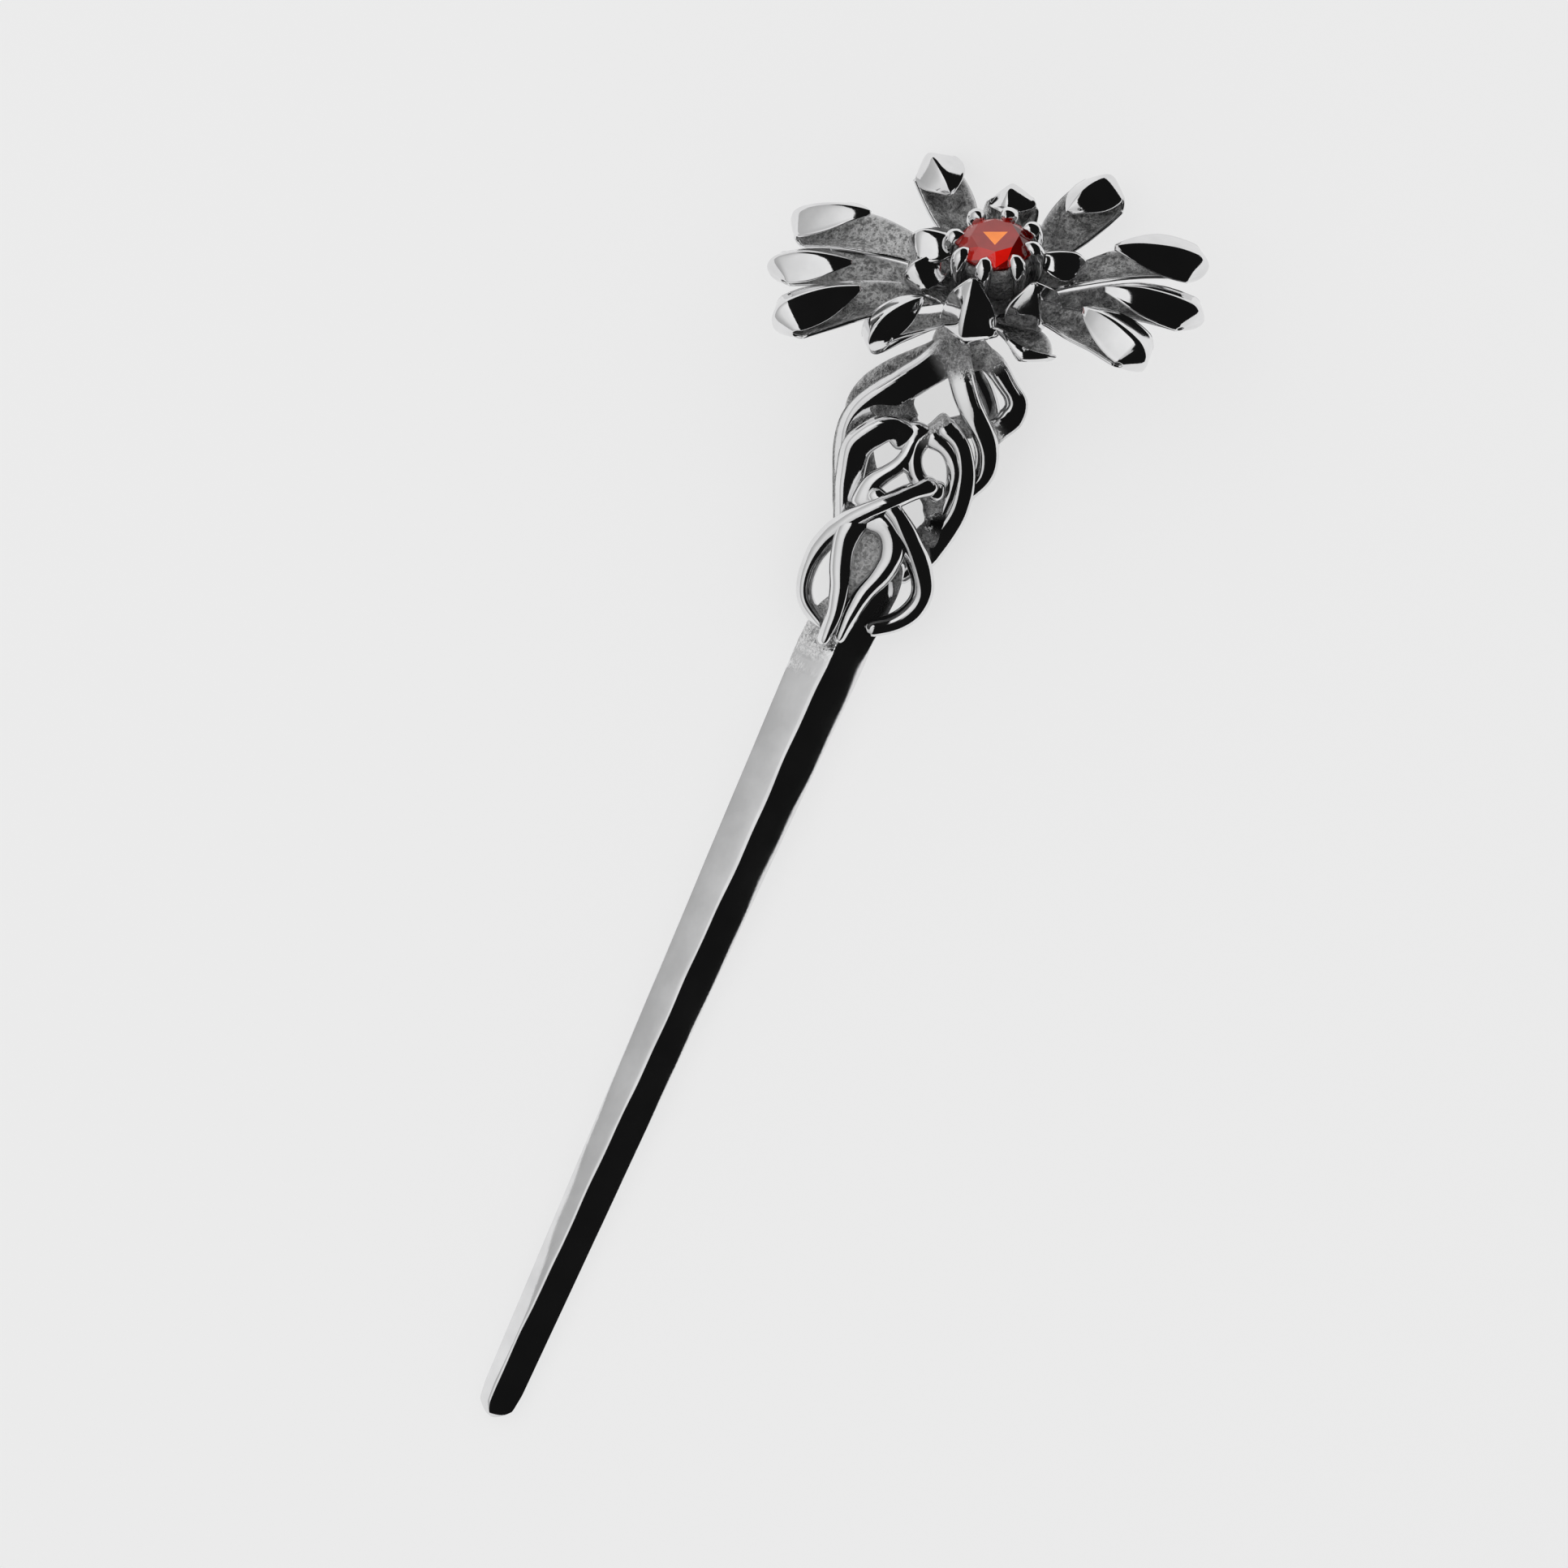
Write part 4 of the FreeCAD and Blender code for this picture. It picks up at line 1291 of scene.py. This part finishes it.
@dataclass
class Stone:
    """A round brilliant: table, star, kite and girdle facets, a band and the pavilion."""

    radius: float = 3.5
    table_radius: float = 2.3
    crown: float = 1.0
    girdle: float = 0.25
    pavilion: float = 2.7
    level: float = 5.9
    sides: int = 8
    # The glint triangle on the table and each facet's painted light are painted reflections: the crown is
    # painted dark on one side and bright on the other.
    glint: tuple[tuple[float, float], ...] = ((-0.05, -1.35), (1.2, 0.5), (-1.15, 0.5))
    glint_painted_light: float = 1.0
    table_painted_light: float = 0.75
    band_painted_light: float = 0.2
    crown_painted_lights: tuple[float, ...] = (0.06, 0.25, 0.72, 0.75, 0.75, 0.62, 0.50, 0.10)

    def table_corner(self, index: int) -> Vector:
        """Find one corner of the table."""
        return spoke(360.0 / self.sides * index, self.table_radius,
                     self.level + self.girdle + self.crown)

    def star(self, index: float) -> Vector:
        """Find the point of one star facet."""
        radius = self.table_radius + 0.62 * (self.radius - self.table_radius)
        return spoke(360.0 / self.sides * index, radius, self.level + self.girdle + 0.42 * self.crown)

    def waist(self, index: float) -> Vector:
        """Find one point half-way down the pavilion."""
        return spoke(360.0 / self.sides * index, self.radius * 0.3, self.level - self.pavilion * 0.76)

    def rim(self, index: float, height: float) -> Vector:
        """Find one point of the stone's edge."""
        return spoke(360.0 / self.sides * index, self.radius, height)

    def cut_table(self, facets: Facets) -> None:
        """Cut the table: a triangle painted as a bright glint, a painted reflection, and the faces from
        it to the table's edge.

        Args:
            facets: the stone's facets, which gain these.
        """
        top = self.level + self.girdle + self.crown
        glint = [Vector((x, y, top)) for x, y in self.glint]
        table = [self.table_corner(i) for i in range(self.sides)]
        nearest = [min(range(len(glint)), key=lambda k: (glint[k] - corner).length) for corner in table]
        facets.add(self.glint_painted_light, *glint)
        for i in range(self.sides):
            j = (i + 1) % self.sides
            inside = [glint[nearest[j]], glint[nearest[i]]]
            if nearest[i] == nearest[j]:
                inside.pop()
            facets.add(self.table_painted_light, table[i], table[j], *inside)

    def cut_crown(self, facets: Facets, i: int) -> None:
        """Cut one eighth of the crown.

        Args:
            facets: the stone's facets, which gain these.
            i: which eighth.
        """
        band = self.level + self.girdle
        corner, following = self.table_corner(i), self.table_corner(i + 1)
        star, star_back = self.star(i + 0.5), self.star(i - 0.5)
        edge, edge_on, edge_next = (self.rim(i + step, band) for step in (0.0, 0.5, 1.0))
        painted_light = self.crown_painted_lights[i]
        facets.add(painted_light, corner, following, star)
        facets.add(painted_light, corner, star_back, edge)
        facets.add(painted_light, corner, edge, star)
        facets.add(painted_light * 0.35, star, edge, edge_on)
        facets.add(painted_light, star, edge_on, edge_next)

    def cut_pavilion(self, facets: Facets, i: int) -> None:
        """Cut one eighth of the band and of the pavilion.

        Args:
            facets: the stone's facets, which gain these.
            i: which eighth.
        """
        band = self.level + self.girdle
        edge, edge_on, edge_next = (self.rim(i + step, band) for step in (0.0, 0.5, 1.0))
        low, low_on, low_next = (self.rim(i + step, self.level) for step in (0.0, 0.5, 1.0))
        waist, culet = self.waist(i + 0.5), Vector((0.0, 0.0, self.level - self.pavilion))
        near, far = (self.crown_painted_lights[(i + step) % self.sides] * 0.6 for step in (2, 4))
        facets.add(self.band_painted_light, edge, low, low_on, edge_on)
        facets.add(self.band_painted_light, edge_on, low_on, low_next, edge_next)
        facets.add(near, low, waist, low_on)
        facets.add(far, low_on, waist, low_next)
        facets.add(self.crown_painted_lights[i] * 0.5, low_next, waist, culet, self.waist(i + 1.5))

    def build(self) -> bpy.types.Object:
        """Cut the stone.

        Returns:
            The stone.
        """
        facets = Facets()
        self.cut_table(facets)
        for i in range(self.sides):
            self.cut_crown(facets, i)
            self.cut_pavilion(facets, i)
        return bare_object("faceted_stone", [FLOWER @ corner for corner in facets.corners],
                           facets.faces, {PAINTED_LIGHT: facets.painted_lights})


@dataclass
class Setting:
    """The receptacle, the cup, the claws and the stone."""

    receptacle_radius: float = 4.4
    receptacle_height: float = 2.4
    receptacle_drop: float = 1.4
    receptacle_crown: float = 0.25
    cup_low: float = 2.6
    cup_high: float = 3.8
    cup_height: float = 4.4
    axis_radius: float = 0.02
    claw_turns: tuple[float, ...] = (24.0, 69.0, 116.0, 172.0, 214.0, 254.0, 301.0, 341.0)
    claw_path: Corners = field(default_factory=lambda: [
        (3.6, 1.0), (4.15, 3.0), (4.3, 4.8), (4.15, 5.8), (3.75, 6.5), (2.95, 6.95)])
    claw_fullness: Corners = field(default_factory=lambda: [
        (0.0, 0.45), (0.3, 0.5), (0.55, 0.66), (0.72, 0.86), (0.84, 0.9), (0.93, 0.62), (1.0, 0.08)])
    claw_around: int = 24
    claw_rings: int = 48
    gem: Stone = field(default_factory=Stone)

    def lathe(self, name: str, profile: Corners, grain: float, patina_and_shade: float) -> bpy.types.Object:
        """Turn a profile about the flower's axis.

        Args:
            name: what to call the piece.
            profile: its (radius, height) points.
            grain: how sandy it is.
            patina_and_shade: how dark it is.

        Returns:
            The turned piece.
        """
        skin = Skin()
        around = 64
        for radius, height in profile:
            ring = [spoke(360.0 * i / around, radius, height) for i in range(around)]
            skin.add(ring, [grain] * around, [patina_and_shade] * around)
        skin.roughen(0.05, 0.6, 7.0)
        return skin.mesh(name, FLOWER)

    def receptacle(self) -> bpy.types.Object:
        """Turn the domed plate that carries the petals and the cup.

        Returns:
            The receptacle.
        """
        low, radius = -self.receptacle_drop, self.receptacle_radius
        top = self.receptacle_height - self.receptacle_drop
        profile = [(self.axis_radius, low), (radius * 0.35, low), (radius * 0.6, low + 0.05)]
        profile += [(radius * (0.6 + 0.4 * i / 8), low + self.receptacle_height * i / 8)
                    for i in range(1, 9)]
        profile += [(radius * math.cos(math.pi / 2 * i / 10),
                     top + self.receptacle_crown * math.sin(math.pi / 2 * i / 10)) for i in range(1, 10)]
        profile += [(self.axis_radius, top + self.receptacle_crown)]
        return self.lathe("grained_receptacle", profile, 1.0, 0.75)

    def cup(self) -> bpy.types.Object:
        """Turn the open cup under the stone: up its outside, over its lip and down its inside.

        Returns:
            The cup.
        """
        foot = self.receptacle_height - self.receptacle_drop
        top, high = foot + self.cup_height, self.cup_high
        outside = [(self.axis_radius, foot), (self.cup_low, foot), (self.cup_low + 0.7, foot + 1.5),
                   (high - 0.15, top - 0.9)]
        lip = [(high, top), (high - 0.1, top + 0.22), (high - 0.3, top + 0.27), (high - 0.5, top + 0.15)]
        inside = [(2.4, top - 0.75), (1.2, top - 1.75), (self.axis_radius, top - 2.6)]
        path = SmoothPath([(radius, height, 0.0) for radius, height in outside + lip + inside])
        profile = [(max(p.x, self.axis_radius), p.y) for p in (path.point(i / 60) for i in range(61))]
        return self.lathe("grained_setting_cup", profile, 0.85, 0.75)

    def claw(self, index: int) -> bpy.types.Object:
        """Shape one claw: a rounded thorn that leans over the stone's edge.

        Args:
            index: which claw.

        Returns:
            The claw.
        """
        turn = self.claw_turns[index]
        side = spoke(turn + 90.0)
        path = SmoothPath([tuple(spoke(turn, radius, height)) for radius, height in self.claw_path])
        outline = superellipse(self.claw_around, 2.1)
        skin = Skin()
        for i in range(self.claw_rings + 1):
            share = i / self.claw_rings
            centre = path.point(share)
            front = side.cross(path.along(share)).normalized()
            full = graph(self.claw_fullness, share)
            ring = [centre + side * (a * full) + front * (u * full) for a, u in outline]
            # The claw darkens towards its foot.
            skin.add(ring, None, [0.7 * (1.0 - ease(0.35, 0.6, share))] * len(ring))
        skin.roughen(0.07, 0.8, index * 1.7 + 0.3)
        return skin.mesh(f"silver_claw_{index + 1}", FLOWER)

    def dress(self, polished: bpy.types.Material, matte: bpy.types.Material,
              stone: bpy.types.Material) -> None:
        """Build and seat the setting's pieces.

        Args:
            polished: the claws' finish.
            matte: the finish of the receptacle and the cup.
            stone: the stone's finish.
        """
        place_piece(self.receptacle(), "receptacle", matte)
        place_piece(self.cup(), "setting_cup", matte)
        for index in range(len(self.claw_turns)):
            place_piece(self.claw(index), f"claw_{index + 1}", polished)
        place_piece(self.gem.build(), "gemstone", stone)


# ---------------------------------------------------------------- studio
@dataclass
class Studio:
    """A pale light-table floor, one big soft light on the left and a long-lens camera above.

    The soft light is a piece of a big globe about the pin. Its edges and its glow are given by the
    angle from the camera's line, in degrees, and its turn is measured from the view's right. The
    three rooms are what polished silver mirrors, what matte faces gather and what the camera sees.
    """

    stick_turn: float = 24.0
    view_centre: Point = (66.8, -1.0, 0.0)
    view_width: float = 150.3
    distance: float = 1200.0
    sensor: float = 36.0
    light_reach: float = 0.5
    light_edges: tuple[float, float] = (10.5, 104.0)
    light_turn: float = 180.0
    light_spread: float = 68.0
    light_strength: float = 0.9
    light_steps: int = 24
    light_fall: tuple[float, float] = (1.08, 0.78)
    glow: Corners = field(default_factory=lambda: [
        (10.0, 0.7), (22.0, 1.0), (50.0, 0.95), (75.0, 0.62), (95.0, 0.5)])
    floor_half: float = 3.0
    floor_grey: float = 0.35
    floor_glow: float = 0.6
    room_dark: float = 0.008
    room_fill: float = 0.62
    backdrop: float = 0.82

    def axes(self) -> tuple[Vector, Vector, Vector]:
        """Find the view's directions, in the row frame.

        Returns:
            Its right, its up and the way back to the camera.
        """
        turn = math.radians(self.stick_turn)
        spin = REST.to_3x3().normalized()
        right = spin @ Vector((math.sin(turn), -math.cos(turn), 0.0))
        up = spin @ Vector((math.cos(turn), math.sin(turn), 0.0))
        return right, up, spin @ Vector((0.0, 0.0, 1.0))

    def camera(self) -> None:
        """Hang a long lens that looks straight at the pin's front."""
        right, up, back = self.axes()
        data = bpy.data.cameras.new("camera")
        data.sensor_width = self.sensor
        data.lens = self.sensor * self.distance / self.view_width
        data.clip_start, data.clip_end = 0.05, 20.0
        obj = bpy.data.objects.new("camera", data)
        spot = REST @ Vector(self.view_centre) + back * self.distance * MM
        turn = Matrix((right, up, back)).transposed().to_4x4()
        obj.matrix_world = Matrix.Translation(spot) @ turn
        bpy.context.scene.collection.objects.link(obj)
        bpy.context.scene.camera = obj

    def floor(self) -> None:
        """Lay the pale floor, which glows like a light table so that no hard shadow forms."""
        half, grey = self.floor_half, self.floor_grey
        signs = ((-1.0, -1.0), (1.0, -1.0), (1.0, 1.0), (-1.0, 1.0))
        corners = [Vector((x * half, y * half, 0.0)) for x, y in signs]
        obj = bare_object("floor", corners, [(0, 1, 2, 3)], {})
        nodes = Wiring("pale_floor")
        shader = nodes.node("ShaderNodeBsdfPrincipled", Roughness=0.9, Specular_IOR_Level=0.0,
                            Base_Color=(grey, grey, grey, 1.0), Emission_Color=(1.0, 1.0, 1.0, 1.0),
                            Emission_Strength=self.floor_glow)
        nodes.wire(shader.outputs["BSDF"], nodes.output.inputs["Surface"])
        obj.data.materials.append(nodes.material)

    def softbox(self) -> None:
        """Hang the left soft light, which reaches from near the camera down to the floor."""
        right, up, back = self.axes()
        middle = REST @ Vector(self.view_centre)
        steps, (near, far), (first, last) = self.light_steps, self.light_edges, self.light_fall
        verts, faces, glow = [], [], []
        for r in range(steps + 1):
            away = math.radians(near + (far - near) * r / steps)
            for c in range(steps + 1):
                turn = math.radians(self.light_turn + self.light_spread * (2.0 * c / steps - 1.0))
                round_way = right * math.cos(turn) + up * math.sin(turn)
                way = round_way * math.sin(away) + back * math.cos(away)
                verts.append(middle + way * self.light_reach)
                fall = first + (last - first) * c / steps
                glow.append(graph(self.glow, math.degrees(away)) * fall * self.light_strength)
        for r in range(steps):
            for c in range(steps):
                k = r * (steps + 1) + c
                faces.append((k, k + 1, k + steps + 2, k + steps + 1))
        obj = bare_object("left_softbox", verts, faces, {GLOW: glow})
        nodes = Wiring("left_softbox")
        lamp = nodes.node("ShaderNodeEmission")
        nodes.wire(nodes.mark(GLOW), lamp.inputs["Strength"])
        nodes.wire(lamp.outputs["Emission"], nodes.output.inputs["Surface"])
        obj.data.materials.append(nodes.material)
        obj.visible_camera = False

    def world(self) -> None:
        """Paint the room: dark to polished silver, dim to matte faces and pale to the camera."""
        world = bpy.data.worlds.new("studio")
        bpy.context.scene.world = world
        world.use_nodes = True
        tree = world.node_tree
        tree.nodes.clear()
        output = tree.nodes.new("ShaderNodeOutputWorld")
        path = tree.nodes.new("ShaderNodeLightPath")
        rooms = []
        for level in (self.room_dark, self.room_fill, self.backdrop):
            shade = tree.nodes.new("ShaderNodeBackground")
            shade.inputs["Color"].default_value = (level, level, level, 1.0)
            rooms.append(shade.outputs[0])
        mixed = rooms[0]
        for ray, room in zip(("Is Diffuse Ray", "Is Camera Ray"), rooms[1:]):
            blend = tree.nodes.new("ShaderNodeMixShader")
            tree.links.new(path.outputs[ray], blend.inputs[0])
            tree.links.new(mixed, blend.inputs[1])
            tree.links.new(room, blend.inputs[2])
            mixed = blend.outputs[0]
        tree.links.new(mixed, output.inputs["Surface"])

    def dress(self) -> None:
        """Set the whole studio up."""
        bpy.context.scene.view_settings.view_transform = "Standard"
        self.world()
        self.floor()
        self.softbox()
        self.camera()


def main() -> None:
    """Build the pin and its studio."""
    logging.basicConfig(level=logging.INFO, format="%(message)s")
    noise.seed_set(NOISE_SEED)
    polished = SilverFinish("polished_silver").build()
    petal_silver = SilverFinish("petal_silver").build()
    matte = SilverFinish("matte_silver", grained_dark=(0.5, 0.5, 0.5), grain_metal=0.1).build()
    Shaft().dress(polished)
    Neck().dress(polished, matte)
    Corolla().dress(petal_silver)
    Setting().dress(polished, matte, StoneFinish().build())
    Studio().dress()


if __name__ == "__main__":
    main()
